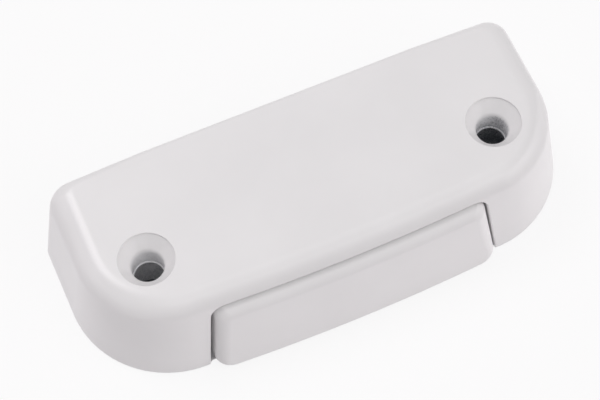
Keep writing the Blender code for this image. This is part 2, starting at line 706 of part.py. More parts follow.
def make_retaining_clip(name, x, material):
    inner = GUIDE_PIN_RADIUS - CLIP_GROOVE_DEPTH + SEAT_GAP
    centre = Vector((x, 0.0, GUIDE_HEIGHT))
    profile = tube_profile(inner, CLIP_RADIUS, CLIP_FRONT, CLIP_BACK)
    clip = turned(f"retaining_clip_{name}", profile, centre, material, along_y=True, ring=True)
    mouth = box_outline(
        x - CLIP_MOUTH / 2.0, x + CLIP_MOUTH / 2.0, GUIDE_HEIGHT - CLIP_RADIUS - PAST, GUIDE_HEIGHT)
    cut(clip, wall_prism(f"cut_mouth_{name}", mouth, CLIP_FRONT - PAST, CLIP_BACK + PAST))
    return clip


def make_return_spring(name, x, material):
    front = bar_socket_rear() + SEAT_GAP
    back = RIB_FRONT - SEAT_GAP
    tail = 2.0 * SPRING_WIRE_RADIUS
    radius = GUIDE_PIN_RADIUS + SPRING_PIN_CLEARANCE + SPRING_WIRE_RADIUS
    centre = Vector((x, 0.0, GUIDE_HEIGHT))
    count = SPRING_CURLS * CURL_POINTS
    curls = []
    for step in range(count + 1):
        angle = 2.0 * math.pi * step / CURL_POINTS
        y = front + tail + (back - front - 2.0 * tail) * step / count
        curls.append(centre + Vector((radius * math.cos(angle), y, radius * math.sin(angle))))
    points = [curls[0] - Vector((0.0, tail, 0.0))] + curls + [curls[-1] + Vector((0.0, tail, 0.0))]
    print_self_gap(f"return_spring_{name}", points, SPRING_WIRE_RADIUS)
    return wire(f"return_spring_{name}", points, SPRING_WIRE_RADIUS, material)


def torsion_radius():
    return PIVOT_BOSS_RADIUS + TORSION_CLEARANCE + TORSION_WIRE_RADIUS


def torsion_foot():
    return HOOK_TOP + TORSION_CLEARANCE + TORSION_WIRE_RADIUS


def torsion_start():
    """The angle where the leg from the hook meets the coil."""
    return math.radians(TORSION_LEG_ANGLE) + math.acos(torsion_radius() / TORSION_LEG_REACH)


def torsion_sweep():
    return 2.0 * math.pi * (TORSION_CURLS + 1) - torsion_start()


def torsion_rise():
    return TORSION_PITCH * torsion_sweep() / (2.0 * math.pi)


def torsion_leg():
    angle = math.radians(TORSION_LEG_ANGLE)
    return Vector((TORSION_LEG_REACH * math.cos(angle), TORSION_LEG_REACH * math.sin(angle), 0.0))


def make_latch_spring(material):
    radius = torsion_radius()
    foot = PIVOT + Vector((0.0, 0.0, torsion_foot()))
    leg = foot + torsion_leg()
    points = [leg - Vector((0.0, 0.0, torsion_foot() - HOOK_TOP + TORSION_HOOK_DEPTH)), leg]
    count = round(torsion_sweep() / (2.0 * math.pi) * CURL_POINTS)
    for step in range(count + 1):
        angle = torsion_start() + torsion_sweep() * step / count
        rise = torsion_rise() * step / count
        points.append(foot + Vector((radius * math.cos(angle), radius * math.sin(angle), rise)))
    wall = HOUSING_BACK - WALL - SEAT_GAP
    points.append(Vector((points[-1].x, wall, points[-1].z)))
    print_self_gap("latch_spring", points[1:-1], TORSION_WIRE_RADIUS)
    return wire("latch_spring", points, TORSION_WIRE_RADIUS, material)


def make_latch_hook(material):
    outline = [point + PIVOT.to_2d() for point in hook_outline()]
    hook = prism("latch_hook", outline, HOOK_FOOT, HOOK_TOP, material)
    bore = BUSH_RADIUS + SEAT_GAP
    cut(hook, turned("cut_hook_bore", [(bore, HOOK_FOOT - PAST), (bore, HOOK_TOP + PAST)], PIVOT))
    leg_hole = TORSION_WIRE_RADIUS + SEAT_GAP
    profile = [(leg_hole, HOOK_TOP - TORSION_HOOK_DEPTH - SEAT_GAP), (leg_hole, HOOK_TOP + PAST)]
    cut(hook, turned("cut_leg_hole", profile, PIVOT + torsion_leg(), steps=TINY_ROUND_STEPS))
    return hook


def main():
    for leftover in list(bpy.data.objects):
        bpy.data.objects.remove(leftover, do_unlink=True)

    white = finish("powder_coated_zinc", (0.83, 0.82, 0.83), 0.38, 0.0)
    bar_white = finish("powder_coated_bar", (0.81, 0.80, 0.81), 0.36, 0.0)
    plated = finish("zinc_plated_steel", (0.62, 0.63, 0.64), 0.34, 1.0)
    steel = finish("ground_steel", (0.56, 0.57, 0.58), 0.22, 1.0)
    spring_steel = finish("spring_steel", (0.42, 0.42, 0.43), 0.30, 1.0)
    hardened = finish("hardened_steel", (0.36, 0.36, 0.38), 0.35, 1.0)
    bronze = finish("sintered_bronze", (0.50, 0.32, 0.14), 0.45, 1.0)

    bar_axis = axis_empty("bar_slide_axis", Vector((0.0, BAR_REAR, GUIDE_HEIGHT)))
    latch_axis = axis_empty("latch_pivot_axis", PIVOT)

    make_housing(white)
    make_base_plate(plated)
    make_plate_screws(plated)
    turned("latch_pivot_pin",
           pin_profile(PIVOT_PIN_RADIUS, PIVOT_PIN_RECESS, PIVOT_BORE_TOP - SEAT_GAP), PIVOT, steel)
    turned("thrust_washer",
           tube_profile(PIVOT_BORE_RADIUS, WASHER_RADIUS, WASHER_FOOT, WASHER_FOOT + WASHER_THICKNESS),
           PIVOT, bronze, ring=True)
    make_latch_spring(spring_steel)

    carry(make_push_bar(bar_white), bar_axis)
    carry(make_drive_pin(steel), bar_axis)
    for name, x in guide_places():
        carry(make_guide_pin(name, x, steel), bar_axis)
        carry(make_retaining_clip(name, x, spring_steel), bar_axis)
        make_return_spring(name, x, spring_steel)

    carry(make_latch_hook(hardened), latch_axis)
    bush = turned("pivot_bush",
                  tube_profile(PIVOT_PIN_RADIUS + RUN_GAP, BUSH_RADIUS, HOOK_FOOT, HOOK_TOP),
                  PIVOT, bronze, ring=True)
    carry(bush, latch_axis)


main()
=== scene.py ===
import math

import bpy
from mathutils import Matrix, Quaternion, Vector


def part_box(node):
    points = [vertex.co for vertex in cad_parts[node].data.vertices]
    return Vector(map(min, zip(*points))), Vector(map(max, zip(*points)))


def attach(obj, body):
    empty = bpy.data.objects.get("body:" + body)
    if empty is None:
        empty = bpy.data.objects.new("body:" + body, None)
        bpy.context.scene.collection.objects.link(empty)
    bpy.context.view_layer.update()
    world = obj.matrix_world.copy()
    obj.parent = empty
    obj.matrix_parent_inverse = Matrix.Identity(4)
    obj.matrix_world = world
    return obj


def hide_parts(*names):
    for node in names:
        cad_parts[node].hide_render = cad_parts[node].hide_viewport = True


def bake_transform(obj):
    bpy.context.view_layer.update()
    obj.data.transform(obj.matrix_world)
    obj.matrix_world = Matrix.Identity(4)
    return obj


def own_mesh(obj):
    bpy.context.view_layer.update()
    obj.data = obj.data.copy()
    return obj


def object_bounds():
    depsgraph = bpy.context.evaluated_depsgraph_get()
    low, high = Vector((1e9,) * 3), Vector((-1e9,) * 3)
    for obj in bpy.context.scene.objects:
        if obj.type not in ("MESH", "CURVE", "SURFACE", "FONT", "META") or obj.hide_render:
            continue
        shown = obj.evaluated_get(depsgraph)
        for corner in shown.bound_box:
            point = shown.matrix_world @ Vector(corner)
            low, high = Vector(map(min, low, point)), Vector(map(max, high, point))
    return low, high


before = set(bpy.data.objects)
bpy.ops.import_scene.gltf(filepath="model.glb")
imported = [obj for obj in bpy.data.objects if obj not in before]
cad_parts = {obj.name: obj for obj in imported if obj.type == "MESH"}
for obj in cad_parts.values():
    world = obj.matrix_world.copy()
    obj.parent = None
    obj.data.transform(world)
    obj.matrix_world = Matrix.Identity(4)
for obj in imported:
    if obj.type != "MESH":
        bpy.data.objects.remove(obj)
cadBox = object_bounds()
past = 0.001        # how far a cutting tool runs past what it cuts
slack = 0.0001      # faces that lie closer than this count as level
weld = 0.000001     # points that lie closer than this are merged

# lengths are metres and angles are degrees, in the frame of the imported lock
camera = {
    "place": (-0.052638, -0.115841, 0.272626),
    "aim": (-0.002101, 0.003936, 0.008),
    "roll": -0.866,
    "lens": 113.76,
}


def deselectAll():
    bpy.ops.object.select_all(action="DESELECT")


def useAlone(piece):
    deselectAll()
    piece.select_set(True)
    bpy.context.view_layer.objects.active = piece


def addCamera():
    deselectAll()
    place = Vector(camera["place"])
    bpy.ops.object.camera_add(location=place)
    eye = bpy.context.object
    eye.name = "photoCamera"
    eye.data.lens = camera["lens"]
    eye.data.sensor_width = 36.0
    eye.data.clip_start = 0.01
    look = (Vector(camera["aim"]) - place).to_track_quat("-Z", "Y")
    roll = Quaternion((0, 0, 1), math.radians(camera["roll"]))
    eye.rotation_euler = (look @ roll).to_euler()
    bpy.context.scene.camera = eye


addCamera()
print("camera stands where the photograph was taken")


def fromHex(code):
    parts = [int(code[i:i + 2], 16) / 255 for i in (0, 2, 4)]
    return (*(p / 12.92 if p <= 0.04045 else ((p + 0.055) / 1.055) ** 2.4 for p in parts), 1.0)


def addNode(tree, kind, settings=None, links=None):
    node = tree.nodes.new(kind)
    for name, value in (settings or {}).items():
        if name == "stops":
            for element, (place, code) in zip(node.color_ramp.elements, value):
                element.position, element.color = place, fromHex(code)
        elif isinstance(name, str) and name[0].islower():
            setattr(node, name, value)
        else:
            node.inputs[name].default_value = value
    for name, source in (links or {}).items():
        tree.links.new(source, node.inputs[name])
    return node


def newMaterial(name):
    material = bpy.data.materials.new(name)
    material.use_nodes = True
    tree = material.node_tree
    where = addNode(tree, "ShaderNodeTexCoord").outputs["Object"]
    return material, tree, tree.nodes["Principled BSDF"], where


# values of a noise that its pattern is stretched between
noiseSpan = {"narrow": (0.35, 0.65), "usual": (0.30, 0.70), "wide": (0.25, 0.75)}
noiseMean = 0.5


def finishSurface(tree, shader, finish, colour, gloss, relief, depth, span="usual"):
    # a colour, a gloss that follows one pattern and a relief that follows another
    low, high = noiseSpan[span]
    rough = addNode(tree, "ShaderNodeMapRange", {
        "From Min": low, "From Max": high, "To Min": finish["smooth"], "To Max": finish["rough"]},
        {"Value": gloss.outputs["Fac"]})
    bump = addNode(tree, "ShaderNodeBump", {"Strength": 1.0, "Distance": depth},
                   {"Height": relief.outputs["Fac"]})
    tree.links.new(colour, shader.inputs["Base Color"])
    tree.links.new(rough.outputs["Result"], shader.inputs["Roughness"])
    tree.links.new(bump.outputs["Normal"], shader.inputs["Normal"])


powderCoat = {
    "dark": "EBEAEA", "light": "EEEDED",
    "peel": 0.0009,         # width of the orange peel
    "peelHeight": 0.000003,
    "drift": 0.014,         # width of the slow change of shade
    "grit": 0.00022,
    "smooth": 0.274, "rough": 0.286, "ior": 1.5,
}


def makePowderCoat(name, coat):
    # polyester powder baked on a zinc casting: white, satin, with a faint orange peel in its gloss
    material, tree, shader, where = newMaterial(name)
    drift = addNode(tree, "ShaderNodeTexNoise", {"Scale": 1 / coat["drift"], "Detail": 3.0}, {"Vector": where})
    peel = addNode(tree, "ShaderNodeTexNoise", {"Scale": 1 / coat["peel"], "Detail": 1.5}, {"Vector": where})
    grit = addNode(tree, "ShaderNodeTexNoise", {"Scale": 1 / coat["grit"], "Detail": 1.0}, {"Vector": where})
    shade = addNode(tree, "ShaderNodeValToRGB", {
        "stops": zip(noiseSpan["narrow"], (coat["dark"], coat["light"]))}, {"Fac": drift.outputs["Fac"]})
    shader.inputs["IOR"].default_value = coat["ior"]
    finishSurface(tree, shader, coat, shade.outputs["Color"], grit, peel, coat["peelHeight"])
    return material


castZinc = {
    "dark": "757B83", "light": "9DA3AA", "coat": "EDEDEE",
    "flow": 0.005, "skin": 0.00028, "skinHeight": 0.000006,
    "smooth": 0.42, "rough": 0.60,
    "sprayFoot": -0.0055, "sprayTop": 0.0108,    # heights between which overspray covers the bores
    "paintedShadeLean": 0.155,             # the cover leans along x, so the right bore is covered less far down: painted shade that darkens the right hole
    "cloud": 1.6, "speck": 1.7,     # how far the thin powder breaks up into clouds and specks
}


def makeCastZinc(name, zinc, sprayed):
    # zinc as it leaves the die: dull grey, cloudy with flow marks, and grainy close to
    material, tree, shader, where = newMaterial(name)
    flow = addNode(tree, "ShaderNodeTexNoise", {"Scale": 1 / zinc["flow"], "Detail": 4.0, "Distortion": 0.6},
                   {"Vector": where})
    skin = addNode(tree, "ShaderNodeTexNoise", {"Scale": 1 / zinc["skin"], "Detail": 2.0}, {"Vector": where})
    shade = addNode(tree, "ShaderNodeValToRGB", {
        "stops": zip(noiseSpan["usual"], (zinc["dark"], zinc["light"]))}, {"Fac": flow.outputs["Fac"]})
    colour = shade.outputs["Color"]
    shader.inputs["Metallic"].default_value = 1.0
    if sprayed:
        # the powder thins out down the bore, and bare zinc shows through it in clouds and specks
        # the cover's height leans along x: painted shade that leaves the right bore darker than the left
        height = addNode(tree, "ShaderNodeVectorMath", {
            "operation": "DOT_PRODUCT", 1: (-zinc["paintedShadeLean"], 0, 1)}, {0: where})
        veil = addNode(tree, "ShaderNodeMapRange", {
            "interpolation_type": "SMOOTHSTEP", "From Min": zinc["sprayFoot"], "From Max": zinc["sprayTop"]},
            {"Value": height.outputs["Value"]}).outputs["Result"]
        for pattern, depth in ((flow, zinc["cloud"]), (skin, zinc["speck"])):
            patch = addNode(tree, "ShaderNodeMath", {"operation": "SUBTRACT", 1: noiseMean},
                            {0: pattern.outputs["Fac"]})
            veil = addNode(tree, "ShaderNodeMath", {
                "operation": "MULTIPLY_ADD", "use_clamp": pattern == skin, 1: depth},
                {0: patch.outputs["Value"], 2: veil}).outputs["Value"]
        mixed = addNode(tree, "ShaderNodeMix", {"data_type": "RGBA", 7: fromHex(zinc["coat"])},
                        {0: veil, 6: colour})
        bare = addNode(tree, "ShaderNodeMath", {"operation": "SUBTRACT", 0: 1.0}, {1: veil})
        tree.links.new(bare.outputs["Value"], shader.inputs["Metallic"])
        colour = mixed.outputs[2]
    finishSurface(tree, shader, zinc, colour, skin, skin, zinc["skinHeight"])
    return material


def makeMetal(name, metal):
    # drawn, rolled or ground metal: lines run one way, and stains lie over them
    material, tree, shader, where = newMaterial(name)
    along = addNode(tree, "ShaderNodeMapping", {"Scale": tuple(1 / width for width in metal["line"])},
                    {"Vector": where})
    lines = addNode(tree, "ShaderNodeTexNoise", {"Scale": 1.0, "Detail": 2.0},
                    {"Vector": along.outputs["Vector"]})
    stain = addNode(tree, "ShaderNodeTexNoise", {"Scale": 1 / metal["stain"], "Detail": 4.0},
                    {"Vector": where})
    shade = addNode(tree, "ShaderNodeValToRGB", {
        "stops": zip(noiseSpan["usual"], (metal["dark"], metal["light"]))}, {"Fac": stain.outputs["Fac"]})
    shader.inputs["Metallic"].default_value = 1.0
    finishSurface(tree, shader, metal, shade.outputs["Color"], lines, lines, metal["lineHeight"], "wide")
    return material


# bright zinc plate with a clear blue passivate: silvery, a little blue, with rolling lines of the strip below
zincPlate = {"dark": "B9BEC4", "light": "CDD0D3", "stain": 0.007, "line": (0.02, 0.00016, 0.02),
             "lineHeight": 0.0000015, "smooth": 0.24, "rough": 0.38}
# centreless-ground steel: bright, with fine rings round each pin
groundSteel = {"dark": "ADAFB2", "light": "C6C8CA", "stain": 0.004, "line": (0.004, 0.00012, 0.00012),
               "lineHeight": 0.0000008, "smooth": 0.16, "rough": 0.28}
# patented spring wire: grey with the soap film of the die still on it
springSteel = {"dark": "626468", "light": "86888C", "stain": 0.0018, "line": (0.0004, 0.0004, 0.0004),
               "lineHeight": 0.000001, "smooth": 0.26, "rough": 0.42}
# case-hardened, oil-blackened steel: dark and satin, mottled by the quench
hardenedSteel = {"dark": "44474B", "light": "66696E", "stain": 0.0022, "line": (0.0003, 0.00018, 0.0003),
                 "lineHeight": 0.0000015, "smooth": 0.32, "rough": 0.48}
# sintered bronze: brown-gold, matt with open pores
sinteredBronze = {"dark": "8A5C33", "light": "B5844C", "stain": 0.0011, "line": (0.00014, 0.00014, 0.00014),
                  "lineHeight": 0.000006, "smooth": 0.40, "rough": 0.58}

coatWhite = makePowderCoat("whitePowderCoat", powderCoat)
zincInside = makeCastZinc("dieCastZinc", castZinc, False)
zincBore = makeCastZinc("dieCastZincOverspray", castZinc, True)
plateZinc = makeMetal("zincPlatedSteel", zincPlate)
pinSteel = makeMetal("groundSteel", groundSteel)
wireSteel = makeMetal("springSteelWire", springSteel)
hookSteel = makeMetal("blackenedSteel", hardenedSteel)
bushBronze = makeMetal("sinteredBronze", sinteredBronze)
print("finishes mixed")


def drawOut(name, rings):
    # a filled circle is extruded once for each further ring, then every ring is set on its outline
    deselectAll()
    bpy.ops.mesh.primitive_circle_add(vertices=len(rings[0]), radius=past, fill_type="NGON", location=(0, 0, 0))
    piece = bpy.context.object
    piece.name = piece.data.name = name
    bpy.ops.object.mode_set(mode="EDIT")
    bpy.ops.mesh.select_all(action="SELECT")
    for ring in rings[1:]:
        bpy.ops.mesh.extrude_region_move()
    bpy.ops.object.mode_set(mode="OBJECT")
    for vertex, point in zip(piece.data.vertices, (point for ring in rings for point in ring)):
        vertex.co = point
    faceOutwards(piece)
    return piece


def faceOutwards(piece):
    useAlone(piece)
    bpy.ops.object.mode_set(mode="EDIT")
    bpy.ops.mesh.select_all(action="SELECT")
    bpy.ops.mesh.normals_make_consistent(inside=False)
    bpy.ops.object.mode_set(mode="OBJECT")


def roundedPath(corners):
    # corners are (across, along, radius, steps), and one with radius 0 stays sharp
    points = []
    for index, (across, along, radius, steps) in enumerate(corners):
        here = Vector((across, along))
        if radius == 0:
            points.append(here)
            continue
        before = (Vector(corners[index - 1][:2]) - here).normalized()
        after = (Vector(corners[(index + 1) % len(corners)][:2]) - here).normalized()
        half = before.angle(after) / 2
        centre = here + (before + after).normalized() * radius / math.sin(half)
        start = here + before * radius / math.tan(half) - centre
        turn = (math.pi - 2 * half) * (1 if before.cross(after) < 0 else -1)
        points += [centre + Matrix.Rotation(turn * step / steps, 2) @ start for step in range(steps + 1)]
    return points


def tongue(left, right, foot, end, radius, steps):
    # an outline with a square foot and a rounded end
    return roundedPath([(left, foot, 0, 0), (right, foot, 0, 0),
                        (right, end, radius, steps), (left, end, radius, steps)])


def splitLong(outline, longest):
    # a closed outline with its long sides split, so that they can follow a bowed wall
    points = []
    for index, here in enumerate(outline):
        after = outline[(index + 1) % len(outline)]
        parts = max(1, math.ceil((after - here).length / longest))
        points += [here.lerp(after, part / parts) for part in range(parts)]
    return points


def turned(name, profile, centre, steps, alongY=False):
    rings = []
    for radius, height in profile:
        ring = []
        for step in range(steps):
            angle = 2 * math.pi * step / steps
            across, aside = radius * math.cos(angle), radius * math.sin(angle)
            ring.append(Vector(centre) + Vector((across, height, -aside) if alongY else (across, aside, height)))
        rings.append(ring)
    return drawOut(name, rings)


# facets round each boss, peg, socket and bore
facets = {
    "screwBoss": 64, "plateScrewBoss": 40, "pivotBoss": 56, "springPeg": 28,
    "plateScrewTool": 28, "pivotTool": 40, "guideTool": 32,
    "pinSocket": 36, "socketTool": 32, "drivePinTool": 32, "holeTool": 48, "bushTool": 48, "legTool": 24,
    "pivotBush": 56, "thrustWasher": 56, "ringTool": 56,
}


def rod(name, radius, start, stop, centre, alongY=False):
    return turned(name, [(radius, start), (radius, stop)], centre, facets[name], alongY)


def slab(name, low, high):
    deselectAll()
    low, high = Vector(low), Vector(high)
    bpy.ops.mesh.primitive_cube_add(size=1, location=(low + high) / 2, scale=high - low)
    bpy.context.object.name = name
    return bpy.context.object


def combine(piece, tool, operation):
    useAlone(piece)
    step = piece.modifiers.new(tool.name, "BOOLEAN")
    step.operation, step.solver, step.object = operation, "EXACT", tool
    bpy.ops.object.modifier_apply(modifier=step.name)
    bpy.data.objects.remove(tool, do_unlink=True)


def cut(piece, tool):
    combine(piece, tool, "DIFFERENCE")


def join(piece, tool):
    combine(piece, tool, "UNION")


def softenEdges(piece, width, steps, angle):
    useAlone(piece)
    step = piece.modifiers.new("edgeBreak", "BEVEL")
    step.width, step.segments, step.angle_limit = width, steps, math.radians(angle)
    step.limit_method = "ANGLE"
    bpy.ops.object.modifier_apply(modifier=step.name)


def dress(piece, materials, body, node, sharpAngle=32):
    useAlone(piece)
    bpy.ops.object.mode_set(mode="EDIT")
    bpy.ops.mesh.select_all(action="SELECT")
    bpy.ops.mesh.remove_doubles(threshold=weld)
    bpy.ops.mesh.normals_make_consistent(inside=False)
    bpy.ops.object.mode_set(mode="OBJECT")
    bpy.ops.object.shade_smooth_by_angle(angle=math.radians(sharpAngle))
    step = piece.modifiers.new("flatFacesLead", "WEIGHTED_NORMAL")
    step.keep_sharp = True
    bpy.ops.object.modifier_apply(modifier=step.name)
    for material in materials:
        piece.data.materials.append(material)
    if body:
        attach(piece, body)
    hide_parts(node)
    return piece


housingShape = {
    "front": 0.0127, "frontCorner": 0.0162, "backCorner": 0.0024, "frontBow": 0.0008,
    "endDraft": 9.0, "frontDraft": 10.0,
    "endEdge": 0.0042, "frontEdge": 0.0036, "backEdge": 0.0008, "footBreak": 0.00015,
    "backEdgeEnd": 0.0021, "backEase": 0.018,   # the back edge grows rounder over this length at each end
    "wall": 0.0022, "roof": 0.0019, "plateSeat": 0.0018, "plateLip": 0.0009,
    "coatShare": 0.9,       # share of the wall's thickness that counts as the coated skin
    "cornerSteps": 28, "backCornerSteps": 10, "edgeSteps": 14, "bowSteps": 28, "backSteps": 36,
}
screwHole = {
    "pitch": 0.05715, "bore": 0.00248, "sink": 0.0043, "sinkDepth": 0.0025, "length": 0.0064,
    "core": 0.0036, "boss": 0.0054,
    "rimStep": 0.0003, "rimRound": 0.00012, "throatRound": 0.0014, "flash": 0.00016,
    "steps": 72, "throatSteps": 8, "rimFootSteps": 4, "rimSteps": 6,
}
notchShape = {
    "eave": 0.0029, "footWidth": 0.0486, "lean": 0.00175, "corner": 0.0024, "reach": 0.0066,
    "edgeRound": 0.0003, "edgeSteps": 4, "cornerSteps": 10, "longestSide": 0.0012,
}
insideShape = {
    "plateScrewBoss": 0.0024, "plateScrewBossTop": 0.0098,
    "plateScrewBore": 0.0013, "plateScrewBoreTop": 0.0083,
    "pivotBoss": 0.0044, "pivotBossFoot": 0.0055, "pivotBore": 0.0023, "pivotBoreTop": 0.0120,
    "ribSide": 0.0029, "ribFront": 0.0016, "ribBack": 0.0046, "ribDrop": 0.0030, "guideBore": 0.0018,
    "peg": 0.0010, "pegX": 0.0036, "pegBack": 0.0063, "pegFoot": 0.0089,
    "windowLeft": -0.0133, "windowRight": -0.0050, "windowTop": 0.0057, "windowCorner": 0.0004,
    "windowRound": 0.0003, "windowReach": 0.00308, "windowSteps": 4,
}


def middleOf(node):
    low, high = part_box(node)
    return (low + high) / 2


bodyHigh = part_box("housing")[1]
bodyFront = -housingShape["front"]
ceiling = bodyHigh.z - housingShape["roof"]
notchTop = bodyHigh.z - notchShape["eave"]
pivotX, pivotY = middleOf("latch_pivot_pin").xy
pivotPlace = (pivotX, pivotY, 0)
screwSides = (-screwHole["pitch"] / 2, screwHole["pitch"] / 2)
plateScrewPlaces = [middleOf(f"plate_screw_{number}").xy for number in (1, 2, 3, 4)]
guidePlaces = {side: middleOf(f"guide_pin_{side}") for side in ("left", "right")}


def edgeInset(height, draft, radius):
    # how far a drafted wall with a rounded top edge lies inside its foot
    lean = math.radians(draft)
    centre = bodyHigh.z - radius
    if height <= centre + radius * math.sin(lean):
        return height * math.tan(lean)
    rise = min(height - centre, radius)
    return (radius + centre * math.sin(lean)) / math.cos(lean) - math.sqrt(radius ** 2 - rise ** 2)


def wallInsets(height):
    shape = housingShape
    return (edgeInset(height, shape["endDraft"], shape["endEdge"]),
            edgeInset(height, shape["frontDraft"], shape["frontEdge"]),
            edgeInset(height, 0.0, shape["backEdge"]))


def bodyOutline(endInset, frontInset, backInset):
    shape = housingShape
    half, front, back = bodyHigh.x - endInset, bodyFront + frontInset, bodyHigh.y - backInset
    big = shape["frontCorner"] - (endInset + frontInset) / 2
    small = max(shape["backCorner"] - backInset, shape["backEdge"] / 2)
    corner, backCorner, bowSteps = shape["cornerSteps"], shape["backCornerSteps"], shape["bowSteps"]
    outline = roundedPath([(-half, front, big, corner), (half, front, big, corner),
                           (half, back, small, backCorner), (-half, back, small, backCorner)])
    bow = []
    for step in range(1, bowSteps):
        across = 2 * step / bowSteps - 1
        bow.append(Vector((across * (half - big), front - shape["frontBow"] * (1 - across ** 2))))
    middle = 2 * (corner + 1) + backCorner + 1
    rear = [outline[middle - 1].lerp(outline[middle], step / shape["backSteps"])
            for step in range(1, shape["backSteps"])]
    return outline[:corner + 1] + bow + outline[corner + 1:middle] + rear + outline[middle:]


def easeBack(outline, height):
    # the back's top edge, rounded more and more towards its two ends
    shape = housingShape
    plain = edgeInset(height, 0.0, shape["backEdge"])
    eased = []
    for x, y in outline:
        near = max(1 - (bodyHigh.x - abs(x)) / shape["backEase"], 0)
        radius = shape["backEdge"] + (shape["backEdgeEnd"] - shape["backEdge"]) * near
        facing = max(1 - (bodyHigh.y - plain - y) / shape["backCorner"], 0)
        eased.append((x, y - facing * (edgeInset(height, 0.0, radius) - plain)))
    return eased


def level(outline, height):
    return [(x, y, height) for x, y in outline]


def frontWall(x, height):
    # the front wall's outer face at a place along it and a height
    endInset, frontInset = wallInsets(min(max(height, 0), bodyHigh.z))[:2]
    big = housingShape["frontCorner"] - (endInset + frontInset) / 2
    flat = bodyHigh.x - endInset - big
    front = bodyFront + frontInset
    if abs(x) <= flat:
        return front - housingShape["frontBow"] * (1 - (x / flat) ** 2)
    return front + big - math.sqrt(big ** 2 - (abs(x) - flat) ** 2)


def notchSides(gapEnd, gapTop, foot):
    lean = notchShape["lean"] / notchTop
    upper = notchShape["footWidth"] / 2 - notchShape["lean"] - gapEnd + lean * gapTop
    return upper, notchShape["footWidth"] / 2 - gapEnd - lean * foot, notchTop - gapTop


def notchOutline(gapEnd, gapTop, foot, corner):
    upper, lower, top = notchSides(gapEnd, gapTop, foot)
    steps = notchShape["cornerSteps"]
    return splitLong(roundedPath([(-lower, foot, 0, 0), (lower, foot, 0, 0),
                                  (upper, top, corner, steps), (-upper, top, corner, steps)]),
                     notchShape["longestSide"])


mouthFlare = 75     # degrees that a cut edge is rounded through


def mouthTool(name, outlineAt, wallAt, inwards, reach, rounding, steps):
    # a cutter that flares where it leaves the wall's face, so that the cut edge comes out round
    turns = [math.radians(mouthFlare) * (1 - step / steps) for step in range(steps + 1)]
    stations = [(rounding * (1 - math.sin(turn)), rounding * (1 - math.cos(turn))) for turn in turns]
    stations = [(-reach, stations[0][1])] + stations + [(reach, 0)]
    return drawOut(name, [[(x, wallAt(x, z) + inwards * depth, z) for x, z in outlineAt(grow)]
                          for depth, grow in stations])


def screwTool(name, x):
    hole, top = screwHole, bodyHigh.z
    foot = top - hole["length"]
    tip = hole["bore"] - hole["flash"]
    profile = roundedPath([
        (hole["core"], -past, 0, 0), (hole["core"], foot, 0, 0), (tip, foot, 0, 0),
        (tip, foot + hole["flash"], 0, 0), (hole["bore"], foot + 2 * hole["flash"], 0, 0),
        (hole["bore"], top - hole["sinkDepth"], hole["throatRound"], hole["throatSteps"]),
        (hole["sink"], top - hole["rimStep"], hole["rimRound"], hole["rimFootSteps"]),
        (hole["sink"], top, hole["rimRound"], hole["rimSteps"]), (hole["sink"] + past, top, 0, 0)])
    # the rim's last step lies in the top face, so the tool leaves upright before it
    profile = profile[:-2]
    profile.append(Vector((profile[-1].x, top + past)))
    return turned(name, profile, (x, 0, 0), hole["steps"])


def isInside(point):
    # true on the walls of the cavity, behind the skin that the powder reaches
    endInset, frontInset = wallInsets(min(max(point.z, 0), bodyHigh.z))[:2]
    big = housingShape["frontCorner"] - (endInset + frontInset) / 2
    half, front = bodyHigh.x - endInset, bodyFront + frontInset
    depth = min(half - abs(point.x), point.y - front, bodyHigh.y - point.y)
    if abs(point.x) > half - big and point.y < front + big:
        depth = big - math.hypot(abs(point.x) - half + big, point.y - front - big)
    return depth > housingShape["coatShare"] * housingShape["wall"] and point.z < ceiling + slack


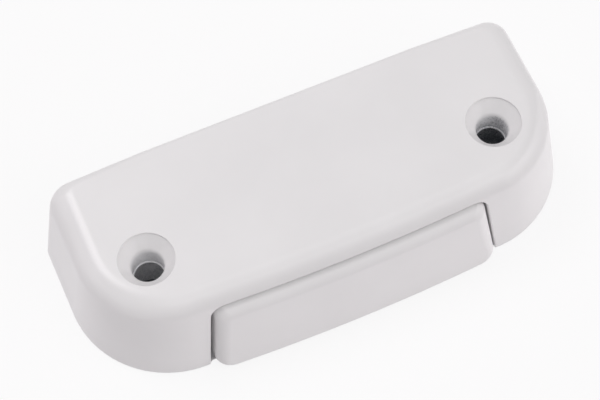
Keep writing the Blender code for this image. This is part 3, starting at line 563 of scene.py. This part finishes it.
def makeHousing():
    shape, inside = housingShape, insideShape
    edge = max(shape["endEdge"], shape["frontEdge"])
    heights = [shape["footBreak"]] + [
        bodyHigh.z - edge * (1 - math.sin(math.pi / 2 * step / shape["edgeSteps"]))
        for step in range(shape["edgeSteps"] + 1)]
    foot = bodyOutline(*(inset + shape["footBreak"] for inset in wallInsets(0)))
    rings = [level(foot, 0)] + [
        level(easeBack(bodyOutline(*wallInsets(height)), height), height) for height in heights]
    housing = drawOut("housingCasting", rings)

    wall = shape["wall"]
    drafts = [ceiling * math.tan(math.radians(shape[name])) for name in ("endDraft", "frontDraft")]
    below = bodyOutline(wall, wall, wall)
    above = bodyOutline(wall + drafts[0], wall + drafts[1], wall)
    cut(housing, drawOut("cavityTool", [level(below, -past), level(below, 0), level(above, ceiling)]))

    bury = ceiling + shape["roof"] / 2
    seat = shape["plateSeat"] / 2
    for x in screwSides:
        join(housing, rod("screwBoss", screwHole["boss"], seat, bury, (x, 0, 0)))
    for x, y in plateScrewPlaces:
        join(housing, rod("plateScrewBoss", inside["plateScrewBoss"], seat, inside["plateScrewBossTop"],
                          (x, y, 0)))
    join(housing, rod("pivotBoss", inside["pivotBoss"], inside["pivotBossFoot"], bury, pivotPlace))
    for x, y, z in guidePlaces.values():
        side = math.copysign(1, x)
        near, far = sorted((x - side * inside["ribSide"], side * screwHole["pitch"] / 2))
        join(housing, slab("guideRib", (near, inside["ribFront"], z - inside["ribDrop"]),
                           (far, inside["ribBack"], bury)))
    pegPlace = (pivotX + inside["pegX"], pivotY + inside["pegBack"], 0)
    join(housing, rod("springPeg", inside["peg"], inside["pegFoot"], bury, pegPlace))

    lip = bodyOutline(*(shape["plateLip"],) * 3)
    cut(housing, drawOut("plateSeatTool", [level(lip, -past), level(lip, shape["plateSeat"])]))
    for x in screwSides:
        cut(housing, screwTool("screwTool", x))
    for x, y in plateScrewPlaces:
        cut(housing, rod("plateScrewTool", inside["plateScrewBore"], 0, inside["plateScrewBoreTop"],
                         (x, y, 0)))
    cut(housing, rod("pivotTool", inside["pivotBore"], 0, inside["pivotBoreTop"], pivotPlace))
    for x, y, z in guidePlaces.values():
        cut(housing, rod("guideTool", inside["guideBore"], inside["ribFront"] - past, inside["ribBack"] + past,
                         (x, 0, z), alongY=True))

    cut(housing, mouthTool(
        "notchTool", lambda grow: notchOutline(-grow, -grow, -past, notchShape["corner"] + grow), frontWall,
        1, notchShape["reach"], notchShape["edgeRound"], notchShape["edgeSteps"]))

    def windowOutline(grow):
        return tongue(inside["windowLeft"] - grow, inside["windowRight"] + grow, -past, inside["windowTop"] + grow,
                      inside["windowCorner"], inside["windowSteps"])

    cut(housing, mouthTool("windowTool", windowOutline, lambda x, z: bodyHigh.y, -1, inside["windowReach"],
                           inside["windowRound"], inside["windowSteps"]))
    dress(housing, [coatWhite, zincInside, zincBore], "housing", "housing")
    boreTop = bodyHigh.z - screwHole["sinkDepth"]
    for face in housing.data.polygons:
        point = face.center
        fromScrew = min(math.hypot(point.x - x, point.y) for x in screwSides)
        if fromScrew < screwHole["sink"] + past and point.z > boreTop - 2 * slack:
            continue
        if fromScrew < screwHole["core"] + slack:
            face.material_index = 2
        elif isInside(point):
            face.material_index = 1
    return housing


makeHousing()
print("housing cast, bored and coated")

barShape = {
    "aside": 0.00010,       # the bar lies over to the right by some of its end gap
    "endGap": 0.00045, "topGap": 0.00055, "foot": 0.0004, "proud": 0.0019, "bow": 0.0007, "lean": 13.0,
    "depth": 0.0070, "endRound": 0.0019, "topRound": 0.0018, "footRound": 0.0006, "footCorner": 0.0015,
    "skin": 0.0016, "rim": 0.0016, "fuse": 0.0003,
    "socket": 0.0027, "socketBore": 0.0018, "socketDepth": 0.0023, "socketBack": 0.00015,
    "armHalf": 0.0027, "armFoot": 0.0060, "armTop": 0.0112, "armFlat": 0.0003, "armSteps": 10,
    "pinBore": 0.0018, "pinTop": 0.0103,
    "cornerSteps": 9, "roundSteps": 12, "bowSteps": 32,
}
barFront = bodyFront - housingShape["frontBow"] - barShape["proud"]
barRear = barFront + barShape["depth"]
driveX, driveY = middleOf("drive_pin").xy


def barLean(height):
    return height * math.tan(math.radians(barShape["lean"]))


def barFloor(height):
    return barFront + barShape["bow"] + barShape["skin"] + barLean(height)


def barRing(depth):
    # an outline of the bar, drawn in by its edge rounds at a depth behind the front; None is the flat rear
    shape = barShape
    upper, lower, top = notchSides(shape["endGap"], shape["topGap"], shape["foot"])
    wide = upper
    drawn = []
    for radius in (shape["endRound"], shape["topRound"], shape["footRound"]):
        rise = 0 if depth is None else max(radius - depth, 0)
        drawn.append(radius - math.sqrt(radius ** 2 - rise ** 2))
    upper, lower, top, foot = upper - drawn[0], lower - drawn[0], top - drawn[1], shape["foot"] + drawn[2]
    corner = notchShape["corner"] - shape["endGap"]
    topCorner = corner - (drawn[0] + drawn[1]) / 4      # tighter as the end and the top draw in
    footCorner = shape["footCorner"]
    steps = shape["cornerSteps"]
    points = roundedPath([(-upper, top, topCorner, steps), (-lower, foot, footCorner, steps),
                          (lower, foot, footCorner, steps), (upper, top, topCorner, steps)])
    arcs = [points[(steps + 1) * index:(steps + 1) * (index + 1)] for index in range(4)]
    between = [step / shape["bowSteps"] for step in range(1, shape["bowSteps"])]
    topRow = arcs[0][::-1] + [arcs[0][0].lerp(arcs[3][-1], part) for part in between] + arcs[3][::-1]
    footRow = arcs[1] + [arcs[1][-1].lerp(arcs[2][0], part) for part in between] + arcs[2]
    ring = []
    for x, z in topRow + footRow[::-1]:
        y = barRear if depth is None else barFront + shape["bow"] * (x / wide) ** 2 + barLean(z) + depth
        ring.append((x + shape["aside"], y, z))
    return ring


def bridgeFront(piece, count):
    # the last ring's one big face gives way to a strip of faces between its upper and its lower row
    useAlone(piece)
    mesh = piece.data
    first = len(mesh.vertices) - count
    bpy.ops.object.mode_set(mode="EDIT")
    bpy.ops.mesh.select_mode(type="FACE")
    bpy.ops.mesh.select_all(action="DESELECT")
    bpy.ops.object.mode_set(mode="OBJECT")
    for face in mesh.polygons:
        face.select = len(face.vertices) == count and min(face.vertices) >= first
    bpy.ops.object.mode_set(mode="EDIT")
    bpy.ops.mesh.delete(type="ONLY_FACE")
    bpy.ops.mesh.select_mode(type="EDGE")
    bpy.ops.mesh.select_all(action="DESELECT")
    bpy.ops.object.mode_set(mode="OBJECT")
    half = count // 2
    for edge in mesh.edges:
        a, b = sorted(vertex - first for vertex in edge.vertices)
        edge.select = a >= 0 and b == a + 1 and a != half - 1
    bpy.ops.object.mode_set(mode="EDIT")
    bpy.ops.mesh.bridge_edge_loops()
    bpy.ops.mesh.select_mode(type="VERT")
    bpy.ops.object.mode_set(mode="OBJECT")
    faceOutwards(piece)


def makePushBar():
    shape = barShape
    steps = shape["roundSteps"]
    depths = [shape["endRound"] * (1 - math.sin(math.pi / 2 * step / steps)) for step in range(steps + 1)]
    rings = [barRing(None)] + [barRing(depth) for depth in depths]
    bar = drawOut("pushBarCasting", rings)
    bridgeFront(bar, len(rings[0]))
    pocket = notchOutline(shape["endGap"] + shape["rim"], shape["topGap"] + shape["rim"],
                          shape["foot"] + shape["rim"], notchShape["corner"] - shape["endGap"])
    cut(bar, drawOut("pocketTool", [[(x, barFloor(z), z) for x, z in pocket],
                                    [(x, barRear + past, z) for x, z in pocket]]))
    rear = barRear - shape["socketBack"]
    for x, y, z in guidePlaces.values():
        root = barFloor(z - shape["socket"]) - shape["fuse"]
        join(bar, rod("pinSocket", shape["socket"], root, rear, (x, 0, z), alongY=True))
        cut(bar, rod("socketTool", shape["socketBore"], rear - shape["socketDepth"], rear + past,
                     (x, 0, z), alongY=True))
    half = shape["armHalf"]
    root = barFloor(shape["armFoot"]) - shape["fuse"]
    arm = tongue(driveX - half, driveX + half, root, driveY + half, half - shape["armFlat"] / 2, shape["armSteps"])
    join(bar, drawOut("driveArm", [level(arm, shape["armFoot"]), level(arm, shape["armTop"])]))
    cut(bar, rod("drivePinTool", shape["pinBore"], shape["armFoot"] - past, shape["pinTop"], (driveX, driveY, 0)))
    return dress(bar, [coatWhite], "push_bar", "push_bar")


makePushBar()
print("push bar shaped")

plateShape = {
    "thickness": 0.0015, "inset": 0.0012, "edgeRound": 0.0003, "edgeSteps": 3, "burr": 0.00008,
    "hole": 0.0034,
    "screwBore": 0.0013, "screwSink": 0.0023, "screwSteps": 40, "pivotBore": 0.0023,
    "bayGap": 0.0003, "bayCorner": 0.0006, "bayCornerSteps": 5, "stroke": 0.0032,
}


def makeBasePlate():
    shape = plateShape
    thick = shape["thickness"]
    rings = []
    # the punch rolls the lower edge over and leaves a small burr above
    for step in range(shape["edgeSteps"] + 1):
        turn = math.pi / 2 * step / shape["edgeSteps"]
        inset = shape["inset"] + shape["edgeRound"] * (1 - math.sin(turn))
        rings.append(level(bodyOutline(inset, inset, inset), shape["edgeRound"] * (1 - math.cos(turn))))
    rings.append(level(bodyOutline(*(shape["inset"],) * 3), thick - shape["burr"]))
    rings.append(level(bodyOutline(*(shape["inset"] + shape["burr"],) * 3), thick))
    plate = drawOut("basePlateStamping", rings)
    half = notchShape["footWidth"] / 2 + shape["bayGap"]
    bay = tongue(-half, half, barFront - past, barRear + shape["stroke"] + shape["bayGap"],
                 shape["bayCorner"], shape["bayCornerSteps"])
    cut(plate, drawOut("bayTool", [level(bay, -past), level(bay, thick + past)]))
    for x in screwSides:
        cut(plate, rod("holeTool", shape["hole"], -past, thick + past, (x, 0, 0)))
    depth = shape["screwSink"] - shape["screwBore"]
    profile = [(shape["screwSink"] + past, -past), (shape["screwBore"], depth),
               (shape["screwBore"], thick + past)]
    for x, y in plateScrewPlaces:
        cut(plate, turned("sinkTool", profile, (x, y, 0), shape["screwSteps"]))
    cut(plate, rod("pivotTool", shape["pivotBore"], -past, thick + past, pivotPlace))
    return dress(plate, [plateZinc], "housing", "base_plate")


plateScrewShape = {
    "head": 0.0017, "headBreak": 0.00008, "headRise": 0.00005, "headRim": 0.00010, "sunk": 0.00015,
    "shank": 0.0010, "tip": 0.0005,
    "threadDepth": 0.00016, "threadPitch": 0.00045, "threadStart": 0.0004,
    "crest": (0.4, 0.55),       # where the thread's crest starts and stops, in pitches
    "slotLength": 0.0021, "slotWidth": 0.00042, "slotDepth": 0.0006, "steps": 32,
}


def makePlateScrews():
    # one screw with its thread cut as rings, then three copies
    shape = plateScrewShape
    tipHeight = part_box("plate_screw_1")[1].z
    x, y = plateScrewPlaces[0]
    head, sunk, shank, pitch = (shape[key] for key in ("head", "sunk", "shank", "threadPitch"))
    core = shank - shape["threadDepth"]
    neck = sunk + head - shank
    profile = [(head - shape["headBreak"], sunk), (head, sunk + shape["headRise"]),
               (head, sunk + shape["headRim"]), (shank, neck + shape["headRim"])]
    height = neck + shape["threadStart"]
    while height < tipHeight - shank - pitch:
        profile += [(core, height)] + [(shank, height + part * pitch) for part in shape["crest"]]
        height += pitch
    profile += [(core, height), (shape["tip"], tipHeight)]
    screw = turned("plateScrew1", profile, (x, y, 0), shape["steps"])
    for wide, deep in ((shape["slotLength"], shape["slotWidth"]), (shape["slotWidth"], shape["slotLength"])):
        cut(screw, slab("driveTool", (x - wide / 2, y - deep / 2, -past),
                        (x + wide / 2, y + deep / 2, sunk + shape["slotDepth"])))
    screws = [screw]
    for number in (2, 3, 4):
        copy = screw.copy()
        copy.data = screw.data.copy()
        copy.name = copy.data.name = f"plateScrew{number}"
        bpy.context.scene.collection.objects.link(copy)
        shift = plateScrewPlaces[number - 1] - plateScrewPlaces[0]
        copy.data.transform(Matrix.Translation((shift.x, shift.y, 0)))
        screws.append(copy)
    for number, piece in enumerate(screws, start=1):
        dress(piece, [plateZinc], "housing", f"plate_screw_{number}")


makeBasePlate()
makePlateScrews()
print("base plate stamped and screwed on")

pinShape = {"break": 0.0003, "breakSteps": 4, "grooveDepth": 0.0005, "grooveSlack": 0.0003, "steps": 40}


def pinEnds(radius, low, high):
    # ends broken by a small round
    size = pinShape["break"]
    turns = [math.pi / 2 * step / pinShape["breakSteps"] for step in range(pinShape["breakSteps"] + 1)]
    lowEnd = [(radius - size * (1 - math.sin(turn)), low + size * (1 - math.cos(turn))) for turn in turns]
    return lowEnd, [(r, low + high - h) for r, h in reversed(lowEnd)]


def makePin(name, node, body, alongY=False, groove=None):
    low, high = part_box(node)
    axis = 1 if alongY else 2
    radius = (high.x - low.x) / 2
    lowEnd, highEnd = pinEnds(radius, low[axis], high[axis])
    if groove:
        start, stop = groove[0] - pinShape["grooveSlack"], groove[1] + pinShape["grooveSlack"]
        neck = radius - pinShape["grooveDepth"]
        lowEnd += [(radius, start), (neck, start), (neck, stop), (radius, stop)]
    middle = (low + high) / 2
    middle[axis] = 0
    pin = turned(name, lowEnd + highEnd, middle, pinShape["steps"], alongY)
    return dress(pin, [pinSteel], body, node)


clipShape = {"bore": 0.0013, "outer": 0.0030, "mouth": 0.0019, "break": 0.0001, "steps": 40}


def makeClip(side):
    # an open ring of spring strip, with its two ends rounded
    shape = clipShape
    node = f"retaining_clip_{side}"
    low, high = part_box(node)
    x, z = guidePlaces[side].xz
    outerTurn = math.asin(shape["mouth"] / 2 / shape["outer"])
    innerTurn = math.asin(shape["mouth"] / 2 / shape["bore"])
    outline = []
    for radius, turn, way in ((shape["outer"], outerTurn, 1), (shape["bore"], innerTurn, -1)):
        for step in range(shape["steps"] + 1):
            angle = -math.pi / 2 + way * (turn + (2 * math.pi - 2 * turn) * step / shape["steps"])
            outline.append((x + radius * math.cos(angle), z + radius * math.sin(angle)))
    rings = [[(across, y, up) for across, up in outline] for y in (low.y, high.y)]
    clip = drawOut("retainingClip" + side.capitalize(), rings)
    softenEdges(clip, shape["break"], steps=2, angle=50)
    return dress(clip, [wireSteel], "push_bar", node)


returnSpringShape = {"wire": 0.00035, "middle": 0.0024, "turns": 7.0, "closed": 1.0, "touch": 0.00074,
                     "pointsPerTurn": 28, "keep": 0.665}


def windWire(name, points, radius):
    curve = bpy.data.curves.new(name, "CURVE")
    curve.dimensions = "3D"
    curve.bevel_depth, curve.bevel_resolution, curve.use_fill_caps = radius, 4, True
    spline = curve.splines.new("POLY")
    spline.points.add(len(points) - 1)
    for knot, point in zip(spline.points, points):
        knot.co = (*point, 1)
    piece = bpy.data.objects.new(name, curve)
    bpy.context.scene.collection.objects.link(piece)
    useAlone(piece)
    bpy.ops.object.convert(target="MESH")
    return bpy.context.object


def makeReturnSpring(side):
    # closed end turns, open turns between them
    shape = returnSpringShape
    node = f"return_spring_{side}"
    low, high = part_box(node)
    x, z = guidePlaces[side].xz
    front, back = low.y + shape["wire"], high.y - shape["wire"]
    closed, touch = shape["closed"], shape["touch"]
    openPitch = (back - front - 2 * closed * touch) / (shape["turns"] - 2 * closed)
    points = []
    count = round(shape["turns"] * shape["pointsPerTurn"])
    for step in range(count + 1):
        turn = shape["turns"] * step / count
        rest = shape["turns"] - turn
        if turn <= closed:
            along = front + turn * touch
        elif rest <= closed:
            along = back - rest * touch
        else:
            along = front + closed * touch + (turn - closed) * openPitch
        angle = 2 * math.pi * turn
        points.append((x + shape["middle"] * math.cos(angle), along, z + shape["middle"] * math.sin(angle)))
    spring = windWire("returnSpring" + side.capitalize(), points, shape["wire"])
    dress(spring, [wireSteel], "housing", node, sharpAngle=60)
    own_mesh(spring)
    return spring


for side in ("left", "right"):
    clipLow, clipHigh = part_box(f"retaining_clip_{side}")
    makePin("guidePin" + side.capitalize(), f"guide_pin_{side}", "push_bar", True, (clipLow.y, clipHigh.y))
    makeClip(side)
    makeReturnSpring(side)
makePin("drivePin", "drive_pin", "push_bar")
makePin("latchPivotPin", "latch_pivot_pin", "housing")
print("pins, clips and return springs fitted")

hookShape = {
    "hub": 0.0052, "armOffset": 0.0075, "armWidth": 0.0040, "shoulder": 0.0031, "throat": 0.0062,
    "fillet": 0.0030, "corner": 0.0010,
    "barbWidth": 0.0026, "barbLength": 0.0030, "barbSlope": 0.0022, "barbCorner": 0.0004, "undercut": 0.0003,
    "tailFront": 0.0018, "tailWidth": 0.0032, "tailEnd": 0.0037, "swing": 16.0, "edgeBreak": 0.00022,
    "bore": 0.0033, "legBore": 0.00065, "legReach": 0.0080, "legAngle": 140.0, "legDepth": 0.0017,
}


def legPlace(height):
    # where the latch spring's lower leg stands in the hook
    angle, reach = math.radians(hookShape["legAngle"]), hookShape["legReach"]
    return Vector((pivotX + reach * math.cos(angle), pivotY + reach * math.sin(angle), height))


def makeHook():
    shape = hookShape
    low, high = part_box("latch_hook")
    left, right = -shape["armOffset"] - shape["armWidth"] / 2, -shape["armOffset"] + shape["armWidth"] / 2
    barb = right + shape["barbWidth"]
    tip = high.y - pivotY
    catch = tip - shape["barbLength"]
    turn = Matrix.Rotation(math.radians(-shape["swing"] / 2), 2)
    reach, tailFront = driveX + shape["tailEnd"], shape["tailFront"]
    root, tailLow, tailHigh = (turn @ Vector(place) for place in (
        (shape["hub"], tailFront), (reach, tailFront), (reach, tailFront + shape["tailWidth"])))
    corner, small, hub = shape["corner"], shape["barbCorner"], shape["hub"]
    outline = roundedPath([
        (*root, corner, 6), (*tailLow, corner, 8), (*tailHigh, corner, 8), (right, shape["throat"], corner, 8),
        (right, catch + shape["undercut"], small, 5), (barb, catch, small, 6),
        (barb, tip - shape["barbSlope"], small, 6), (right - shape["barbWidth"] / 2, tip, corner, 8),
        (left, tip, corner, 8), (left, shape["shoulder"], shape["fillet"], 10),
        (-hub, -hub, hub, 20), (hub, -hub, hub, 20)])
    outline = [(x + pivotX, y + pivotY) for x, y in outline]
    hook = drawOut("latchHook", [level(outline, low.z), level(outline, high.z)])
    softenEdges(hook, shape["edgeBreak"], steps=3, angle=60)
    cut(hook, rod("bushTool", shape["bore"], low.z - past, high.z + past, pivotPlace))
    cut(hook, rod("legTool", shape["legBore"], high.z - shape["legDepth"], high.z + past, legPlace(0)))
    return dress(hook, [hookSteel], "latch", "latch_hook")


ringShape = {"bore": 0.0023, "break": 0.00012}


def makeRing(name, node, body):
    # a tube with its four rims broken
    low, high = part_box(node)
    ring = rod(name, (high.x - low.x) / 2, low.z, high.z, pivotPlace)
    cut(ring, rod("ringTool", ringShape["bore"], low.z - past, high.z + past, pivotPlace))
    softenEdges(ring, ringShape["break"], steps=2, angle=60)
    return dress(ring, [bushBronze], body, node)


latchSpringShape = {"wire": 0.00035, "middle": 0.00525, "pitch": 0.00125, "turns": 4, "foot": 0.00605,
                    "legFoot": 0.0038, "bend": 0.0007, "bendSteps": 6, "pointsPerTurn": 32}


def makeLatchSpring():
    # a leg up out of the hook, the coil round the pivot boss, and a leg to the back wall
    shape, middle = latchSpringShape, latchSpringShape["middle"]
    leg = legPlace(shape["foot"])
    begin = math.radians(hookShape["legAngle"]) + math.acos(middle / hookShape["legReach"])
    sweep = 2 * math.pi * shape["turns"] - begin
    count = round(sweep / (2 * math.pi) * shape["pointsPerTurn"])
    coil = []
    for step in range(count + 1):
        turn = begin + sweep * step / count
        coil.append(Vector((pivotX + middle * math.cos(turn), pivotY + middle * math.sin(turn),
                            shape["foot"] + shape["pitch"] * sweep * step / count / (2 * math.pi))))
    away = (coil[0] - leg).normalized()
    down = Vector((0, 0, -1))
    bend = []
    for step in range(shape["bendSteps"] + 1):
        turn = math.pi / 2 * step / shape["bendSteps"]
        bend.append(leg + shape["bend"] * ((1 - math.sin(turn)) * down + (1 - math.cos(turn)) * away))
    points = [Vector((leg.x, leg.y, shape["legFoot"]))] + bend + coil
    points.append(Vector((points[-1].x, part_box("latch_spring")[1].y, points[-1].z)))
    spring = windWire("latchSpring", points, shape["wire"])
    dress(spring, [wireSteel], None, "latch_spring", sharpAngle=60)
    # the coil winds up between its fixed upper leg and the leg that the hook carries
    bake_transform(spring)
    return spring


makeHook()
makeRing("pivotBush", "pivot_bush", "latch")
makeRing("thrustWasher", "thrust_washer", "housing")
makeLatchSpring()
print("hook, bush, washer and latch spring fitted")

studio = {
    "floor": "EFECEE", "floorDrop": 0.0003, "floorSize": 3.0, "whiteShare": 0.86,
    "shadeInset": 0.0007,       # the floor seen through gaps and screw holes stays in the lock's shade
    "sky": "FBFBFC", "skyLevel": 0.194,
    # in reflections pale walls fade out between two heights, and they are dimmer below the floor
    "wallGlow": 0.7, "wallTop": (0.35, 0.75), "belowGlow": 0.35, "belowRange": (-0.2, -0.1),
    "lamps": {
        "overhead": {"place": (0.15, 0.40, 0.90), "size": 1.0, "level": 0.134, "colour": "FFFFFF"},
        "overheadLeft": {"place": (-0.30, 0.41, 0.86), "size": 0.5, "level": 0.295, "colour": "FFFBFE"},
        "overheadFront": {"place": (0.20, -0.70, 1.70), "size": 2.0, "level": 0.325, "colour": "FFFFFF"},
        "leftBack": {"place": (-1.60, 0.66, 0.75), "size": 1.6, "level": 0.19, "colour": "FFF5FB"},
        "rightFront": {"place": (0.62, -0.52, 0.47), "size": 0.85, "level": 0.475, "colour": "FFF9FC"},
    },
    # the share of a low lamp that shows in the coat; the rest only lights it, so that the top keeps its tone
    "mirrored": {"leftBack": 0.5, "rightFront": 0.25},
}


def makeFloor():
    deselectAll()
    bpy.ops.mesh.primitive_plane_add(size=studio["floorSize"], location=(0, 0, 0))
    floor = bpy.context.object
    floor.name = "studioFloor"
    floor.data.transform(Matrix.Translation((0, 0, -studio["floorDrop"])))
    # pale paper: white to the camera and in reflections, while the lock's shadow stays on it
    material = bpy.data.materials.new("paleStudioPaper")
    material.cycles.emission_sampling = "NONE"
    material.use_nodes = True
    tree = material.node_tree
    tree.nodes.clear()
    where = addNode(tree, "ShaderNodeTexCoord").outputs["Object"]
    parts = addNode(tree, "ShaderNodeSeparateXYZ", {}, {"Vector": where}).outputs
    wide = addNode(tree, "ShaderNodeMath", {"operation": "ABSOLUTE"}, {0: parts["X"]}).outputs["Value"]
    big, inset = housingShape["frontCorner"], studio["shadeInset"]
    corner = {}
    for axis, source, start, limit in (("X", wide, bodyHigh.x - big, "MAXIMUM"),
                                       ("Y", parts["Y"], bodyFront + big, "MINIMUM")):
        beyond = addNode(tree, "ShaderNodeMath", {"operation": "SUBTRACT", 1: start}, {0: source})
        corner[axis] = addNode(tree, "ShaderNodeMath", {"operation": limit, 1: 0.0},
                               {0: beyond.outputs["Value"]}).outputs["Value"]
    corner = addNode(tree, "ShaderNodeCombineXYZ", {}, corner)
    apart = addNode(tree, "ShaderNodeVectorMath", {"operation": "LENGTH"}, {0: corner.outputs["Vector"]})
    beside = addNode(tree, "ShaderNodeMath", {"operation": "GREATER_THAN", 1: big - inset},
                     {0: apart.outputs["Value"]})
    behind = addNode(tree, "ShaderNodeMath", {"operation": "GREATER_THAN", 1: bodyHigh.y - inset},
                     {0: parts["Y"]})
    outside = addNode(tree, "ShaderNodeMath", {"operation": "MAXIMUM"},
                      {0: beside.outputs["Value"], 1: behind.outputs["Value"]})
    rays = addNode(tree, "ShaderNodeLightPath").outputs
    seen = rays["Is Camera Ray"]
    for kind in ("Is Glossy Ray", "Is Transmission Ray"):
        seen = addNode(tree, "ShaderNodeMath", {"operation": "MAXIMUM"},
                       {0: seen, 1: rays[kind]}).outputs["Value"]
    share = addNode(tree, "ShaderNodeMath", {"operation": "MULTIPLY", 1: studio["whiteShare"]}, {0: seen})
    share = addNode(tree, "ShaderNodeMath", {"operation": "MULTIPLY"},
                    {0: share.outputs["Value"], 1: outside.outputs["Value"]})
    paper = addNode(tree, "ShaderNodeBsdfDiffuse", {"Color": fromHex(studio["floor"])})
    white = addNode(tree, "ShaderNodeEmission", {"Strength": 1.0})
    above = addNode(tree, "ShaderNodeMixShader", {}, {
        0: share.outputs["Value"], 1: paper.outputs["BSDF"], 2: white.outputs["Emission"]})
    # under the lock the paper is clear from below and to light, save below the bar's bay and the bores
    below = addNode(tree, "ShaderNodeBsdfTransparent")
    side = addNode(tree, "ShaderNodeNewGeometry")
    bayEnd = notchShape["footWidth"] / 2 + inset
    bay = addNode(tree, "ShaderNodeMath", {"operation": "LESS_THAN", 1: bayEnd}, {0: wide})
    front = addNode(tree, "ShaderNodeMath", {"operation": "LESS_THAN", 1: barRear}, {0: parts["Y"]})
    bay = addNode(tree, "ShaderNodeMath", {"operation": "MULTIPLY"},
                  {0: bay.outputs["Value"], 1: front.outputs["Value"]})
    bore = addNode(tree, "ShaderNodeMath", {"operation": "SUBTRACT", 1: screwHole["pitch"] / 2}, {0: wide})
    bore = addNode(tree, "ShaderNodeCombineXYZ", {}, {"X": bore.outputs["Value"], "Y": parts["Y"]})
    bore = addNode(tree, "ShaderNodeVectorMath", {"operation": "LENGTH"}, {0: bore.outputs["Vector"]})
    bore = addNode(tree, "ShaderNodeMath", {"operation": "LESS_THAN", 1: screwHole["core"]},
                   {0: bore.outputs["Value"]})
    closed = rays["Is Camera Ray"]
    for part in (outside, bay, bore):
        closed = addNode(tree, "ShaderNodeMath", {"operation": "MAXIMUM"},
                         {0: closed, 1: part.outputs["Value"]}).outputs["Value"]
    clear = addNode(tree, "ShaderNodeMath", {"operation": "SUBTRACT", 0: 1.0}, {1: closed})
    clear = addNode(tree, "ShaderNodeMath", {"operation": "MAXIMUM"},
                    {0: clear.outputs["Value"], 1: side.outputs["Backfacing"]})
    both = addNode(tree, "ShaderNodeMixShader", {}, {
        0: clear.outputs["Value"], 1: above.outputs["Shader"], 2: below.outputs["BSDF"]})
    addNode(tree, "ShaderNodeOutputMaterial", {}, {"Surface": both.outputs["Shader"]})
    floor.data.materials.append(material)


def makeLight():
    world = bpy.data.worlds.new("studioSky")
    world.use_nodes = True
    tree = world.node_tree
    sky = tree.nodes["Background"]
    sky.inputs["Color"].default_value = fromHex(studio["sky"])
    # white to the camera, pale walls under a dim ceiling in reflections, and dim as a light
    where = addNode(tree, "ShaderNodeTexCoord").outputs["Generated"]
    height = addNode(tree, "ShaderNodeSeparateXYZ", {}, {"Vector": where}).outputs["Z"]
    fadeStart, fadeStop = studio["wallTop"]
    wall = addNode(tree, "ShaderNodeMapRange", {
        "interpolation_type": "SMOOTHSTEP", "From Min": fadeStart, "From Max": fadeStop,
        "To Min": studio["wallGlow"], "To Max": 0.0}, {"Value": height})
    dimStart, dimStop = studio["belowRange"]
    raised = addNode(tree, "ShaderNodeMapRange", {
        "From Min": dimStart, "From Max": dimStop, "To Min": studio["belowGlow"]}, {"Value": height})
    rays = addNode(tree, "ShaderNodeLightPath").outputs
    gloss = addNode(tree, "ShaderNodeMath", {"operation": "MULTIPLY"},
                    {0: wall.outputs["Result"], 1: raised.outputs["Result"]})
    gloss = addNode(tree, "ShaderNodeMath", {"operation": "MULTIPLY"},
                    {0: rays["Is Glossy Ray"], 1: gloss.outputs["Value"]})
    seen = gloss.outputs["Value"]
    for kind in ("Is Camera Ray", "Is Transmission Ray"):
        seen = addNode(tree, "ShaderNodeMath", {"operation": "MAXIMUM"},
                       {0: seen, 1: rays[kind]}).outputs["Value"]
    strength = addNode(tree, "ShaderNodeMapRange", {"To Min": studio["skyLevel"], "To Max": 1.0},
                       {"Value": seen})
    tree.links.new(strength.outputs["Result"], sky.inputs["Strength"])
    world.cycles.sampling_method = "NONE"      # rays find it by themselves, so the lamps get the samples
    bpy.context.scene.world = world
    middle = (cadBox[0] + cadBox[1]) / 2
    for name, lamp in studio["lamps"].items():
        place = Vector(lamp["place"])
        full = lamp["level"] * math.pi ** 2 * (place - middle).length ** 2      # level 1 lights white as white
        mirrored = studio["mirrored"].get(name, 1.0)
        for ending, share in (("Lamp", mirrored), ("MattLamp", 1 - mirrored)):
            if share == 0:
                continue
            deselectAll()
            bpy.ops.object.light_add(type="AREA", location=place)
            light = bpy.context.object
            light.name = name + ending
            light.data.shape, light.data.size = "DISK", lamp["size"]
            light.data.color = fromHex(lamp["colour"])[:3]
            light.data.energy = full * share
            light.rotation_euler = (middle - place).to_track_quat("-Z", "Y").to_euler()
            light.visible_glossy = ending == "Lamp"
    bpy.context.scene.view_settings.view_transform = "Standard"


makeFloor()
makeLight()
print("floor laid and lamps lit")
